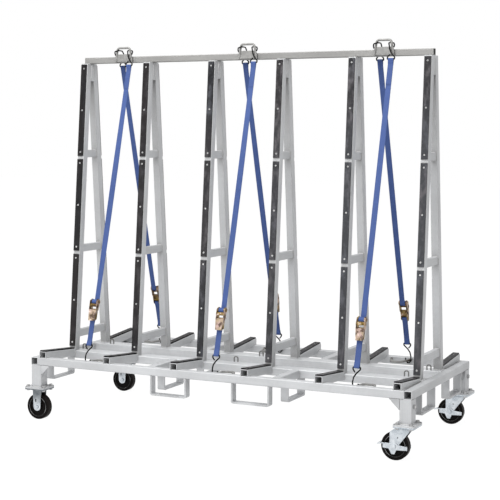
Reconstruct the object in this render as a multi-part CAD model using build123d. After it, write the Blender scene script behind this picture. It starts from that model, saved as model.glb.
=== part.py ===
from build123d import *
from math import atan, cos, degrees, hypot, pi, sin
import os

# Transport cart for upright sheets: a wheeled tube base, a row of A-frames under one top rail,
# rubber-faced legs and bunks, tie rings and six ratchet straps.
# Frame: origin on the floor under the middle of the base, +X towards the swivel casters,
# +Y towards the rear, +Z up. All sizes in millimetres.

# Base
LENGTH = 1981.2
WIDTH = 863.6
DECK_Z = 311.0
TUBE = 38.1
WALL = 3.2
TUBE_CORNER = 4.0
SILL_INNER = 92.5
SILL_WIDTH = 76.2
CROSS_X = 328.0

# Posts under the corners
POST = 57.15
POST_CORNER = 4.5
PAD_Z = 157.0
PAD_THICK = 8.0
PLATE_LENGTH = 114.3
PLATE_WIDTH = 101.6
PLATE_CORNER = 12.0
GUSSET = 48.0
GUSSET_THICK = 6.0
POST_BOLT_Z = 240.0

# Fork loops
LOOP_DROP = 93.0
LOOP_BAR = 38.1
LOOP_THICK = 8.0
LOOP_CORNER = 11.0
SIDE_LOOP_X = 214.5
SIDE_LOOP_WIDTH = 193.0
END_LOOP_Y = 200.5
END_LOOP_WIDTH = 195.0

# A-frames
FRAME_COUNT = 6
FRAME_PITCH = 369.3
LEG_TOP_Z = 1779.0
LEG_FOOT_Y = 168.0
LEG_HEAD_Y = 45.0
RUNG_Z = (394.0, 830.0, 1316.0)
RUNG_WIDTH = 25.4
TOP_TUBE = 31.75
TOP_OVERHANG = 16.0
HEAD_PLATE_Z = 1690.0
HEAD_PLATE_THICK = 6.0
HEAD_PLATE_SET_IN = 0.4

# Rubber strips and their screws
STRIP_WIDTH = 31.75
STRIP_THICK = 6.5
STRIP_EDGE = 1.2
STRIP_LENGTH = 470.0
STRIP_GAP = 17.0
STRIPS_PER_LEG = 3
STRIP_HEAD_GAP = 6.0
STRIP_SCREW_INSET = 20.0
BUNK_STRIP_START = 174.0
BUNK_STRIP_END = 430.0
BUNK_SCREW_INSET = 38.0
BUNK_LIFT = -7.0
SCREW_HEAD = 10.5
SCREW_HEAD_TALL = 3.0
SCREW_HEAD_EDGE = 1.2
SCREW_SHANK = 5.0
SCREW_LENGTH = 14.0
SCREW_SINK = 12.0
SCREW_SINK_DEEP = 4.0
SCREW_HOLE = 5.2

# Tie rings and staples
RING_X = (-702.0, 0.0, 702.0)
RING_BAR = 11.0
RING_BEND = 14.0
TOP_RING_FOOT = 47.5
TOP_RING_HEAD = 35.0
TOP_RING_FOOT_Z = 1783.0
TOP_RING_HEAD_Z = 1854.5
RING_WEB_Z = 1823.0
RING_WEB_THICK = 6.0
BASE_RING_Z = 300.0
BASE_RING_REACH = 84.0
BASE_RING_FOOT = 50.0
BASE_RING_HEAD = 25.0
STAPLE_WIRE = 6.0
STAPLE_SPAN = 20.0
STAPLE_TALL = 25.0
STAPLE_X = (-893.0, -21.0, 851.0)
STAPLE_Y = -99.0

# Straps: upper and lower ends of the front strap, from the ring's centre line
STRAP_TOP = Vector(40.0, -38.0, 1764.0)
STRAP_BOTTOM = Vector(10.0, -368.0, 385.0)
WEB_WIDTH = 27.0
WEB_THICK = 1.8
SEWN_LENGTH = 120.0
PART_LENGTH = 25.0
HOOK_WIRE = 6.5
HOOK_HALF = 17.5
HOOK_CORNER = 3.6
WRAP_GAP = 0.6

# Ratchets, measured along the strap from its lower end
PIN_S = 132.0
SPOOL_S = 212.0
PIN_R = 4.0
PIN_HEAD_R = 6.0
SHEET = 2.0
FRAME_INSIDE = 14.5
FRAME_HALF_TALL = 9.0
FRAME_EYE_R = 14.0
SPOOL_SHAFT_R = 5.0
SPOOL_R = 7.0
COIL_FIT = 0.2
COIL_GAP = 0.5
COIL_HALF_TURNS = 4
TOOTH_COUNT = 12
TOOTH_TIP_R = 15.0
TOOTH_ROOT_R = 12.0
TOOTH_START = 16.9
TOOTH_END = 18.9
HANDLE_INSIDE = 19.2
HANDLE_LENGTH = 95.0
HANDLE_LIP = 7.0
HANDLE_EYE_R = 12.0
HANDLE_LOW = -6.0
HANDLE_HIGH = 16.2
COVER_START = 40.0
GRIP_START = 62.0
GRIP_LOW = 9.4
GRIP_INSIDE = 14.0
SPOOL_HEAD_R = 8.0
PAWL_LOW = 10.5
PAWL_THICK = 2.5
PAWL_NEAR = 11.5
PAWL_FAR = 26.0
PAWL_TRAVEL = 6.0
PAWL_HALF = 23.5
RUN_FIT = 0.06
SIDE_GAP = 0.3

# Casters
WHEEL_R = 63.5
WHEEL_WIDTH = 35.0
WHEEL_EDGE = 5.0
CORE_R = 46.0
HUB_R = 16.0
HUB_LENGTH = 39.0
DISH_DEEP = 3.0
BUSH_R = 6.0
AXLE_R = 5.0
PLATE_THICK = 6.0
LEG_INSIDE = 20.0
LEG_SHEET = 4.0
TRAIL = 52.0
RACE_R = 33.0
RACE_Z = 143.0
YOKE_TOP = 142.7
YOKE_BOTTOM = 136.0
YOKE_R = 30.0
KING_R = 6.0
KING_HEAD_R = 10.0
LEVER_SHEET = 2.5
LEVER_INSIDE = 24.5
PEDAL_NEAR = 65.5
SLOT_X = 46.0
SLOT_INNER_Y = 31.0
SLOT_LENGTH = 21.0
SLOT_WIDTH = 9.0
PLATE_BOLT_R = 4.0
BOLT_END = 7.5
HEX = 15.0
FLANGE_R = 10.5
FLANGE_THICK = 2.0
FORK_HOLE = (-36.0, 102.0, 2.8)

# Worked out from the sizes above
LEAN = (LEG_FOOT_Y - LEG_HEAD_Y) / (LEG_TOP_Z - DECK_Z)
LEAN_COS = cos(atan(LEAN))
LEAN_SIN = sin(atan(LEAN))
RAIL_Z = DECK_Z - TUBE / 2
RAIL_BOTTOM = DECK_Z - TUBE
HALF_X = LENGTH / 2
HALF_Y = WIDTH / 2
SIDE_INNER = HALF_Y - TUBE
SILL_OUTER = SILL_INNER + SILL_WIDTH
POST_X = HALF_X - POST / 2
POST_Y = HALF_Y - POST / 2
POST_BOTTOM = PAD_Z + PAD_THICK
PLATE_BOTTOM = PAD_Z - PLATE_THICK
FRAME_X = [FRAME_PITCH * (i - (FRAME_COUNT - 1) / 2) for i in range(FRAME_COUNT)]
TOP_RAIL_HALF = FRAME_X[-1] + TOP_OVERHANG
RING_Y = -(TOP_TUBE + RING_BAR) / 2
QUARTERS = [(a, b) for a in (-1, 1) for b in (-1, 1)]
COIL_PITCH = WEB_THICK + COIL_GAP
COIL_SHIFT = COIL_PITCH / 4
COIL_START = SPOOL_R + COIL_FIT + WEB_THICK / 2 + COIL_SHIFT
COIL_END = COIL_START + (COIL_HALF_TURNS - 1) * COIL_PITCH / 2
COIL_R = COIL_END + COIL_SHIFT + WEB_THICK / 2


def write(node, *shapes):
    """One STEP file for a node, holding every solid of the shapes given."""
    solids = [solid for shape in shapes for solid in shape.solids()]
    export_step(Compound(children=solids), "parts/" + node + ".step")


def box_section(width, height, corner):
    """Outline of a hollow box section with rounded corners."""
    inner = RectangleRounded(width - 2 * WALL, height - 2 * WALL, corner - WALL)
    return RectangleRounded(width, height, corner) - inner


def tube(length, width, height):
    """A hollow box section along X, open at both ends."""
    return extrude(Plane.YZ * box_section(width, height, TUBE_CORNER), amount=length / 2, both=True)


def half_turn(shape):
    """The same piece on the rear side: a half turn about the vertical axis."""
    return Rot(0, 0, 180) * shape


def side_profile(points, width):
    """An outline in the YZ plane, given as (y, z), made a plate of this width in X about X = 0."""
    return extrude(Plane.YZ * make_face(Polyline(*points, close=True)), amount=width / 2, both=True)


def front_profile(points, depth):
    """An outline in the XZ plane, given as (x, z), made a plate of this depth in Y about Y = 0."""
    return extrude(Plane.XZ * make_face(Polyline(*points, close=True)), amount=depth / 2, both=True)


def rod(points, diameter, bend):
    """Round bar along straight runs joined by bends of one radius, or of one radius each."""
    path = FilletPolyline(*points, radius=bend)
    return sweep(Plane(origin=path @ 0, z_dir=path % 0) * Circle(diameter / 2), path=path)


def hexagon(across, height):
    """A hex head or nut standing on z = 0."""
    return extrude(RegularPolygon(across / 2, 6, major_radius=False), amount=height)


def cylinder_on(radius, height):
    """A cylinder standing on z = 0."""
    return Cylinder(radius, height, align=(Align.CENTER, Align.CENTER, Align.MIN))


def slab(u, s, w):
    """A box from three (low, high) ranges."""
    size = [high - low for low, high in (u, s, w)]
    middle = [(high + low) / 2 for low, high in (u, s, w)]
    return Pos(*middle) * Box(*size)


# Base frame
def base_rails():
    """Side rails and sills butt against the end rails, and cross members join sill to side rail."""
    inside = LENGTH - 2 * TUBE
    side = tube(inside, TUBE, TUBE)
    write("side_rails", *[Pos(0, b * (HALF_Y - TUBE / 2), RAIL_Z) * side for b in (-1, 1)])
    end = Rot(0, 0, 90) * tube(WIDTH, TUBE, TUBE)
    write("end_rails", *[Pos(a * (HALF_X - TUBE / 2), 0, RAIL_Z) * end for a in (-1, 1)])
    sill = tube(inside, SILL_WIDTH, TUBE)
    sill_y = SILL_INNER + SILL_WIDTH / 2
    write("sill_rails", *[Pos(0, b * sill_y, RAIL_Z) * sill for b in (-1, 1)])
    cross = Rot(0, 0, 90) * tube(SIDE_INNER - SILL_OUTER, TUBE, TUBE)
    cross_y = (SIDE_INNER + SILL_OUTER) / 2
    write("cross_members", *[Pos(a * CROSS_X, b * cross_y, RAIL_Z) * cross for a, b in QUARTERS])


def corner_posts():
    """Square tube posts with one bolt through the outer end face, and gussets on two sides."""
    tall = RAIL_BOTTOM - POST_BOTTOM
    post = Pos(0, 0, POST_BOTTOM) * extrude(box_section(POST, POST, POST_CORNER), amount=tall)
    out = Pos(POST / 2, 0, POST_BOLT_Z) * Rot(0, 90, 0)
    post -= out * Pos(0, 0, -WALL / 2) * Cylinder(5.1, WALL + 2)
    washer = out * (cylinder_on(10, 2) - Pos(0, 0, -1) * cylinder_on(5.1, 4))
    shank = Pos(0, 0, -WALL - 10) * cylinder_on(5, WALL + 12)
    bolt = out * (shank + Pos(0, 0, 2) * hexagon(17, 6.4))
    nut = out * Pos(0, 0, -WALL - 8) * (hexagon(17, 8) - Pos(0, 0, -1) * cylinder_on(5.1, 10))
    posts, bolts, gussets = [], [], []
    top = RAIL_BOTTOM
    triangle = [(0, top), (-GUSSET, top), (0, top - GUSSET)]
    along = front_profile(triangle, GUSSET_THICK)
    across = side_profile(triangle, GUSSET_THICK)
    for a, b in QUARTERS:
        turn = Pos(a * POST_X, b * POST_Y, 0) * Rot(0, 0, 0 if a > 0 else 180)
        posts.append(turn * post)
        bolts += [turn * piece for piece in (washer, bolt, nut)]
        flip_x = along if a > 0 else along.mirror(Plane.YZ)
        gussets.append(Pos(a * (HALF_X - POST), b * (HALF_Y - GUSSET_THICK / 2), 0) * flip_x)
        flip_y = across if b > 0 else across.mirror(Plane.XZ)
        gussets.append(Pos(a * (HALF_X - TUBE / 2), b * (HALF_Y - POST), 0) * flip_y)
    write("corner_posts", *posts)
    write("post_bolts", *bolts)
    write("post_gussets", *gussets)


def fork_loop(width):
    """A flat bar bent to a U that hangs from z = 0, in the XZ plane."""
    outer = Pos(0, -LOOP_DROP / 2) * Rectangle(width, LOOP_DROP)
    outer = fillet(outer.vertices().sort_by(Axis.Y)[:2], LOOP_CORNER)
    inner = Pos(0, LOOP_THICK - LOOP_DROP / 2) * Rectangle(width - 2 * LOOP_THICK, LOOP_DROP)
    inner = fillet(inner.vertices().sort_by(Axis.Y)[:2], LOOP_CORNER - LOOP_THICK)
    return extrude(Plane.XZ * (outer - inner), amount=LOOP_BAR / 2, both=True)


def fork_loops():
    """Loops for lift forks: under the side rails, under the end rails and under the cross members."""
    side = fork_loop(SIDE_LOOP_WIDTH)
    side_y = HALF_Y - TUBE / 2
    places = [Pos(a * SIDE_LOOP_X, b * side_y, RAIL_BOTTOM) for a, b in QUARTERS]
    write("side_fork_loops", *[place * side for place in places])
    end = Rot(0, 0, 90) * fork_loop(END_LOOP_WIDTH)
    columns = (-HALF_X + TUBE / 2, -CROSS_X, CROSS_X, HALF_X - TUBE / 2)
    places = [Pos(x, b * END_LOOP_Y, RAIL_BOTTOM) for x in columns for b in (-1, 1)]
    write("end_fork_loops", *[place * end for place in places])


# A-frames and bunks, built for the front side at X = 0
def leg_face(z):
    """Distance of a leg's outer face from the centre plane, at height z."""
    return LEG_HEAD_Y + LEAN * (LEG_TOP_Z - z)


def leg_inside(z):
    """Distance of a leg's inner face from the centre plane, at height z."""
    return leg_face(z) - TUBE / LEAN_COS


def at_both_sides(pieces):
    """Every A-frame's front and rear copies of the pieces."""
    both = list(pieces) + [half_turn(piece) for piece in pieces]
    return [Pos(x, 0, 0) * piece for x in FRAME_X for piece in both]


def screw_hole(depth):
    """Counterbored hole down from z = 0: a sink for the head and a shank hole."""
    sink = Pos(0, 0, -SCREW_SINK_DEEP) * cylinder_on(SCREW_SINK / 2, SCREW_SINK_DEEP + 1)
    return sink + Pos(0, 0, -depth) * cylinder_on(SCREW_HOLE / 2, depth)


def screw():
    """Screw with an eased round head that sits in the sink below z = 0."""
    head = chamfer(cylinder_on(SCREW_HEAD / 2, SCREW_HEAD_TALL).edges().sort_by(Axis.Z)[-1], SCREW_HEAD_EDGE)
    shank = Pos(0, 0, -SCREW_LENGTH) * cylinder_on(SCREW_SHANK / 2, SCREW_LENGTH)
    return Pos(0, 0, -SCREW_SINK_DEEP) * (head + shank)


def rubber_strip(length):
    """A strip along Y standing on z = 0, with its outer edges eased."""
    strip = Pos(0, 0, STRIP_THICK / 2) * Box(STRIP_WIDTH, length, STRIP_THICK)
    return fillet(strip.faces().sort_by(Axis.Z)[-1].edges(), STRIP_EDGE)


def a_frames():
    """Leaning legs cut level, head plates and rungs between them, and strips screwed to the legs."""
    wall = WALL / LEAN_COS
    outline = [(-leg_face(DECK_Z), DECK_Z), (-leg_face(LEG_TOP_Z), LEG_TOP_Z),
               (-leg_inside(LEG_TOP_Z), LEG_TOP_Z), (-leg_inside(DECK_Z), DECK_Z)]
    low, high = DECK_Z - 1, LEG_TOP_Z - WALL
    bore = [(wall - leg_face(low), low), (wall - leg_face(high), high),
            (-leg_inside(high) - wall, high), (-leg_inside(low) - wall, low)]
    leg = side_profile(outline, TUBE)
    along = Axis((0, 0, 0), (0, LEAN_SIN, LEAN_COS))
    leg = fillet(leg.edges().filter_by(along), TUBE_CORNER) - side_profile(bore, TUBE - 2 * WALL)
    face = Plane(origin=(0, -leg_face(LEG_TOP_Z), LEG_TOP_Z), x_dir=(1, 0, 0), z_dir=(0, -LEAN_COS, LEAN_SIN))
    strips, screws = [], []
    for i in range(STRIPS_PER_LEG):
        middle = -STRIP_HEAD_GAP - STRIP_LENGTH / 2 - i * (STRIP_LENGTH + STRIP_GAP)
        strip = face * Pos(0, middle, 0) * rubber_strip(STRIP_LENGTH)
        for step in (-1, 0, 1):
            place = face * Pos(0, middle + step * (STRIP_LENGTH / 2 - STRIP_SCREW_INSET), STRIP_THICK)
            hole = place * screw_hole(STRIP_THICK + WALL + 1)
            strip -= hole
            leg -= hole
            screws.append(place * screw())
        strips.append(strip)
    write("a_frame_legs", *at_both_sides([leg]))
    write("leg_rubbers", *at_both_sides(strips))
    wide, narrow = leg_inside(HEAD_PLATE_Z), leg_inside(LEG_TOP_Z)
    corners = [(-wide, HEAD_PLATE_Z), (wide, HEAD_PLATE_Z), (narrow, LEG_TOP_Z), (-narrow, LEG_TOP_Z)]
    plate = side_profile(corners, HEAD_PLATE_THICK)
    out = (TUBE - HEAD_PLATE_THICK) / 2 - HEAD_PLATE_SET_IN
    write("head_plates", *[Pos(x + a * out, 0, 0) * plate for x in FRAME_X for a in (-1, 1)])
    rungs = []
    for z in RUNG_Z:
        low, high = z - TUBE / 2, z + TUBE / 2
        wide, narrow = leg_inside(low), leg_inside(high)
        corners = [(-wide, low), (wide, low), (narrow, high), (-narrow, high)]
        hollow = Pos(0, 0, z) * Box(RUNG_WIDTH - 2 * WALL, 3 * wide, TUBE - 2 * WALL)
        rung = side_profile(corners, RUNG_WIDTH)
        rungs.append(fillet(rung.edges().filter_by(Axis.Y), TUBE_CORNER) - hollow)
    write("a_frame_rungs", *[Pos(x, 0, 0) * rung for x in FRAME_X for rung in rungs])
    rail_z = LEG_TOP_Z + TOP_TUBE / 2
    write("top_rail", Pos(0, 0, rail_z) * tube(2 * TOP_RAIL_HALF, TOP_TUBE, TOP_TUBE))
    return screws


def bunk_bottom(y):
    """Height of a bunk's underside at this distance from the centre plane."""
    return DECK_Z + BUNK_LIFT - LEAN * (HALF_Y - y)


def bunks():
    """Tubes square to the legs, notched over the side rail, with a strip screwed on top."""
    tall = TUBE / LEAN_COS
    wall = WALL / LEAN_COS
    ends = (SILL_OUTER, HALF_Y)
    low = [(-y, bunk_bottom(y)) for y in ends]
    high = [(-y, bunk_bottom(y) + tall) for y in reversed(ends)]
    past = (SILL_OUTER - 2, HALF_Y + 2)
    bore_low = [(-y, bunk_bottom(y) + wall) for y in past]
    bore_high = [(-y, bunk_bottom(y) + tall - wall) for y in reversed(past)]
    bunk = side_profile(low + high, TUBE)
    along = Axis((0, 0, 0), (0, -LEAN_COS, LEAN_SIN))
    bunk = fillet(bunk.edges().filter_by(along), TUBE_CORNER)
    bunk -= side_profile(bore_low + bore_high, TUBE - 2 * WALL)
    bunk -= Pos(0, -HALF_Y + TUBE / 2, RAIL_Z) * Box(2 * TUBE, TUBE, TUBE)
    middle = (BUNK_STRIP_START + BUNK_STRIP_END) / 2
    long = (BUNK_STRIP_END - BUNK_STRIP_START) / LEAN_COS
    centre = (0, -middle, bunk_bottom(middle) + tall)
    top = Plane(origin=centre, x_dir=(1, 0, 0), z_dir=(0, LEAN_SIN, LEAN_COS))
    strip = top * rubber_strip(long)
    screws = []
    for step in (-1, 1):
        place = top * Pos(0, step * (long / 2 - BUNK_SCREW_INSET), STRIP_THICK)
        hole = place * screw_hole(STRIP_THICK + WALL + 1)
        strip -= hole
        bunk -= hole
        screws.append(place * screw())
    write("bunks", *at_both_sides([bunk]))
    write("bunk_rubbers", *at_both_sides([strip]))
    return screws


# Rings, hooks and straps, built for the front strap of a ring at X = 0
def at_rings(pieces):
    """Front and rear copies of the pieces at every ring."""
    both = list(pieces) + [half_turn(piece) for piece in pieces]
    return [Pos(x, 0, 0) * piece for x in RING_X for piece in both]


def tie_rings():
    """Bent bars: standing rings on the top rail's face, lying ones inside the side rails, and staples."""
    foot, head = TOP_RING_FOOT, TOP_RING_HEAD
    arch = [(-foot, RING_Y, TOP_RING_FOOT_Z), (-head, RING_Y, TOP_RING_HEAD_Z),
            (head, RING_Y, TOP_RING_HEAD_Z), (foot, RING_Y, TOP_RING_FOOT_Z)]
    flare = (foot - head) / (TOP_RING_HEAD_Z - TOP_RING_FOOT_Z)
    web_half = foot - flare * (RING_WEB_Z - TOP_RING_FOOT_Z)
    low = TOP_RING_FOOT_Z + 2
    low_half = foot - 2 * flare
    web = front_profile([(-low_half, low), (low_half, low), (web_half, RING_WEB_Z), (-web_half, RING_WEB_Z)],
                        RING_WEB_THICK)
    ring = rod(arch, RING_BAR, RING_BEND) + Pos(0, -(TOP_TUBE + RING_WEB_THICK) / 2, 0) * web
    write("top_rings", *[Pos(x, 0, 0) * ring for x in RING_X])

    y = -SIDE_INNER
    inner_y = y + BASE_RING_REACH
    slope = (BASE_RING_FOOT - BASE_RING_HEAD) / BASE_RING_REACH
    sunk = 4.0
    start = BASE_RING_FOOT + slope * sunk
    path = [(-start, y - sunk, BASE_RING_Z), (-BASE_RING_HEAD, inner_y, BASE_RING_Z),
            (BASE_RING_HEAD, inner_y, BASE_RING_Z), (start, y - sunk, BASE_RING_Z)]
    rail = Pos(0, y - TUBE / 2, RAIL_Z) * Box(4 * BASE_RING_FOOT, TUBE, TUBE)
    lying = Pos(BASE_RING_FOOT, 0, 0) * (rod(path, RING_BAR, RING_BEND) - rail)
    write("base_rings", *at_rings([lying]))

    half = STAPLE_SPAN / 2
    arch = [(-half, 0, 0), (-half, 0, STAPLE_TALL), (half, 0, STAPLE_TALL), (half, 0, 0)]
    staple = rod(arch, STAPLE_WIRE, half - 1)
    front = [Pos(x, STAPLE_Y, DECK_Z) * staple for x in STAPLE_X]
    write("rail_staples", *front, *[half_turn(piece) for piece in front])


def hook_eye(end, up):
    """Points of a hook's closed eye, ending at its crossing, for webbing held at the point end.

    up is the direction from the webbing to the hook. The eye starts beside the crossing, goes
    round the straight bar that carries the webbing and comes back through the crossing.
    """
    x = Vector(1, 0, 0)
    side = x * HOOK_HALF
    start = end + up * 23.5 - x * 6.5
    return [start, end + up * 10 - side, end - side, end + side, end + up * 10 + side, end + up * 28]


def hook_rod(eye, bend_points):
    """A wire hook: the eye's tight corners first, then the open bends of the hook itself."""
    points = eye + bend_points
    radii = [HOOK_CORNER] * 4 + [6.0] + [7.0] * (len(points) - 7)
    return rod([tuple(point) for point in points], HOOK_WIRE, radii)


def hooks():
    """Upper hooks reach through the standing rings, lower hooks pass under the lying rings' legs."""
    lean = Vector(0, 0.24, 0.97).normalized()
    front = [Vector(32, -31, 1811), Vector(29, -31, 1829), Vector(24, -23, 1840), Vector(29, -11.5, 1842),
             Vector(45, -11, 1840), Vector(51, -20, 1831), Vector(51.5, -28, 1821)]
    eye = hook_eye(STRAP_TOP, lean)
    upper = hook_rod(eye, front)
    rear = [Vector(-32, 29, 1811), Vector(-27, 21, 1829), Vector(-24, 3, 1841), Vector(-24, -20, 1842),
            Vector(-30, -32, 1841), Vector(-46, -32, 1837), Vector(-52, -22, 1828), Vector(-52.5, -14, 1818)]
    rear_eye = [Vector(-point.X, -point.Y, point.Z) for point in eye]
    upper_rear = hook_rod(rear_eye, rear)
    write("upper_hooks", *[Pos(x, 0, 0) * hook for x in RING_X for hook in (upper, upper_rear)])
    low = [Vector(-1, -378, 341), Vector(-6, -378, 322), Vector(-6.5, -377, 302), Vector(-1, -376, 288.5),
           Vector(11, -375, 288.5), Vector(18.5, -374, 301), Vector(19.5, -374, 312)]
    lower = hook_rod(hook_eye(STRAP_BOTTOM, -lean), low)
    write("lower_hooks", *at_rings([lower]))


STRAP_RUN = STRAP_TOP - STRAP_BOTTOM
STRAP_LENGTH = STRAP_RUN.length
STRAP_UP = STRAP_RUN.normalized()
STRAP_ACROSS = (Vector(1, 0, 0) - STRAP_UP * STRAP_UP.X).normalized()
# Local frame of a strap: x across the webbing, y up along it, z away from the cart
STRAP_PLANE = Plane(origin=STRAP_BOTTOM, x_dir=STRAP_ACROSS, z_dir=STRAP_ACROSS.cross(STRAP_UP))


def strap_profile(face, half):
    """An outline in the strap's (along, away) plane, carried across the webbing to both sides."""
    return STRAP_PLANE * extrude(Plane.YZ * face, amount=half, both=True)


def layer(start, end):
    """One thickness of webbing between two points of its middle line."""
    t = WEB_THICK / 2
    (a, b), (c, d) = start, end
    return make_face(Polyline((a, b - t), (c, d - t), (c, d + t), (a, b + t), close=True))


def wrap(s, radius, side):
    """Half a turn of webbing round a bar of this radius at s, on its upper side or its lower one."""
    inside = radius + WRAP_GAP
    outside = inside + WEB_THICK
    ring = Circle(outside) - Circle(inside)
    return Pos(s, 0) * (ring & (Pos(side * outside, 0) * Rectangle(2 * outside, 4 * outside)))


def straps():
    """The long strap runs from the upper hook to the spool, the short one from the lower hook to the pin."""
    wire = HOOK_WIRE / 2
    at_wire = wire + WRAP_GAP + WEB_THICK / 2
    at_coil = COIL_R + SIDE_GAP + WEB_THICK / 2
    top = STRAP_LENGTH
    rise = (at_coil - at_wire) / (top - SPOOL_S)
    sewn, part = top - SEWN_LENGTH, top - PART_LENGTH
    long = layer((SPOOL_S, -at_coil), (top, -at_wire)) + wrap(top, wire, 1)
    lie, leave = [-at_wire - rise * (top - s) + WEB_THICK for s in (sewn, part)]
    long += layer((sewn, lie), (part, leave))
    long += layer((part, leave), (top, at_wire))
    write("long_straps", *at_rings([strap_profile(long, WEB_WIDTH / 2)]))
    at_pin = PIN_R + WRAP_GAP + WEB_THICK / 2
    low, high = PART_LENGTH, PIN_S - PART_LENGTH
    t = WEB_THICK / 2
    short = wrap(0, wire, -1) + wrap(PIN_S, PIN_R, 1)
    for side in (-1, 1):
        short += layer((0, side * at_wire), (low, side * t))
        short += layer((low, side * t), (high, side * t))
        short += layer((high, side * t), (PIN_S, side * at_pin))
    write("short_straps", *at_rings([strap_profile(short, WEB_WIDTH / 2)]))


# Ratchets, in the strap's own frame
def across(radius, half, s=0.0, w=0.0):
    """A cylinder across the strap, centred at (s, w)."""
    return Pos(0, s, w) * Rot(0, 90, 0) * Cylinder(radius, 2 * half)


def plates(face, inside, thick):
    """Two equal side plates from an outline in the (along, away) plane."""
    sheet = extrude(Plane.YZ * face, amount=thick)
    return Pos(inside, 0, 0) * sheet + Pos(-inside - thick, 0, 0) * sheet


def ratchet_frame():
    """Two side plates joined by a floor, with holes for the fixed pin and the spool."""
    middle = (PIN_S + SPOOL_S) / 2
    outline = Pos(middle, 0) * Rectangle(SPOOL_S - PIN_S, 2 * FRAME_HALF_TALL)
    outline += Pos(PIN_S, 0) * Circle(FRAME_HALF_TALL)
    outline += Pos(SPOOL_S, 0) * Circle(FRAME_EYE_R)
    outline -= Pos(SPOOL_S, 0) * Circle(SPOOL_SHAFT_R + RUN_FIT)
    outline -= Pos(PIN_S, 0) * Circle(PIN_R + RUN_FIT)
    outer = FRAME_INSIDE + SHEET
    floor = slab((-outer, outer), (PIN_S + 14, PIN_S + 46), (-FRAME_HALF_TALL, SHEET - FRAME_HALF_TALL))
    return plates(outline, FRAME_INSIDE, SHEET) + floor


def ratchet_pin():
    """Riveted cross pin that carries the short strap."""
    outer = FRAME_INSIDE + SHEET
    heads = across(PIN_HEAD_R, outer + 2, PIN_S) - across(PIN_HEAD_R + 1, outer, PIN_S)
    return heads + across(PIN_R, outer + 1, PIN_S)


def ratchet_spool():
    """Mandrel on a shaft, with a toothed wheel outside each side plate and headed ends."""
    step = 2 * pi / TOOTH_COUNT
    teeth = []
    for i in range(TOOTH_COUNT):
        for radius, angle in ((TOOTH_TIP_R, i * step), (TOOTH_ROOT_R, (i + 0.25) * step)):
            teeth.append((SPOOL_S + radius * cos(angle), radius * sin(angle)))
    wheel = make_face(Polyline(*teeth, close=True))
    outer = HANDLE_INSIDE + SHEET + SIDE_GAP
    heads = across(SPOOL_HEAD_R, outer + 2, SPOOL_S) - across(SPOOL_HEAD_R + 1, outer, SPOOL_S)
    shaft = across(SPOOL_SHAFT_R, outer + 1, SPOOL_S)
    mandrel = across(SPOOL_R, FRAME_INSIDE - SIDE_GAP, SPOOL_S)
    return shaft + mandrel + heads + plates(wheel, TOOTH_START, TOOTH_END - TOOTH_START)


def coil_arc(k):
    """Centre height and radius of the k-th half turn: each is half a pitch larger than the one before."""
    side = 1 if k % 2 == 0 else -1
    return side, side * COIL_SHIFT, COIL_START + k * COIL_PITCH / 2


def webbing_coil():
    """Webbing wound on the mandrel as one spiral strip of half turns."""
    strip = Sketch()
    half_plane = Rectangle(2 * COIL_R, 4 * COIL_R)
    for k in range(COIL_HALF_TURNS):
        side, height, radius = coil_arc(k)
        ring = Circle(radius + WEB_THICK / 2) - Circle(radius - WEB_THICK / 2)
        strip += (Pos(0, height) * ring) & (Pos(side * COIL_R, 0) * half_plane)
    return extrude(Plane.YZ * (Pos(SPOOL_S, 0) * strip), amount=WEB_WIDTH / 2, both=True)


def coil_least_gap():
    """Least distance between turns of the spiral, measured on points of its middle line."""
    steps = 60
    points = []
    for k in range(COIL_HALF_TURNS):
        side, height, radius = coil_arc(k)
        for i in range(steps):
            angle = pi * i / steps - pi / 2
            points.append((side * radius * cos(angle), height + side * radius * sin(angle)))
    gaps = []
    for i, (x, y) in enumerate(points):
        for u, v in points[i + steps:]:
            gaps.append(hypot(u - x, v - y))
    return min(gaps) - WEB_THICK


def handle_plan(start, side):
    """One edge of the tapered handle seen from outside: from start down to the end of the grip."""
    frame_clear = FRAME_INSIDE + SHEET + SIDE_GAP
    steps = [(HANDLE_INSIDE, start), (HANDLE_INSIDE, SPOOL_S - COVER_START),
             (frame_clear, SPOOL_S - GRIP_START), (GRIP_INSIDE, SPOOL_S - HANDLE_LENGTH)]
    inner = [(side * u, s) for u, s in steps]
    outer = [(side * (u + SHEET), s) for u, s in steps]
    return inner, outer


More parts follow.
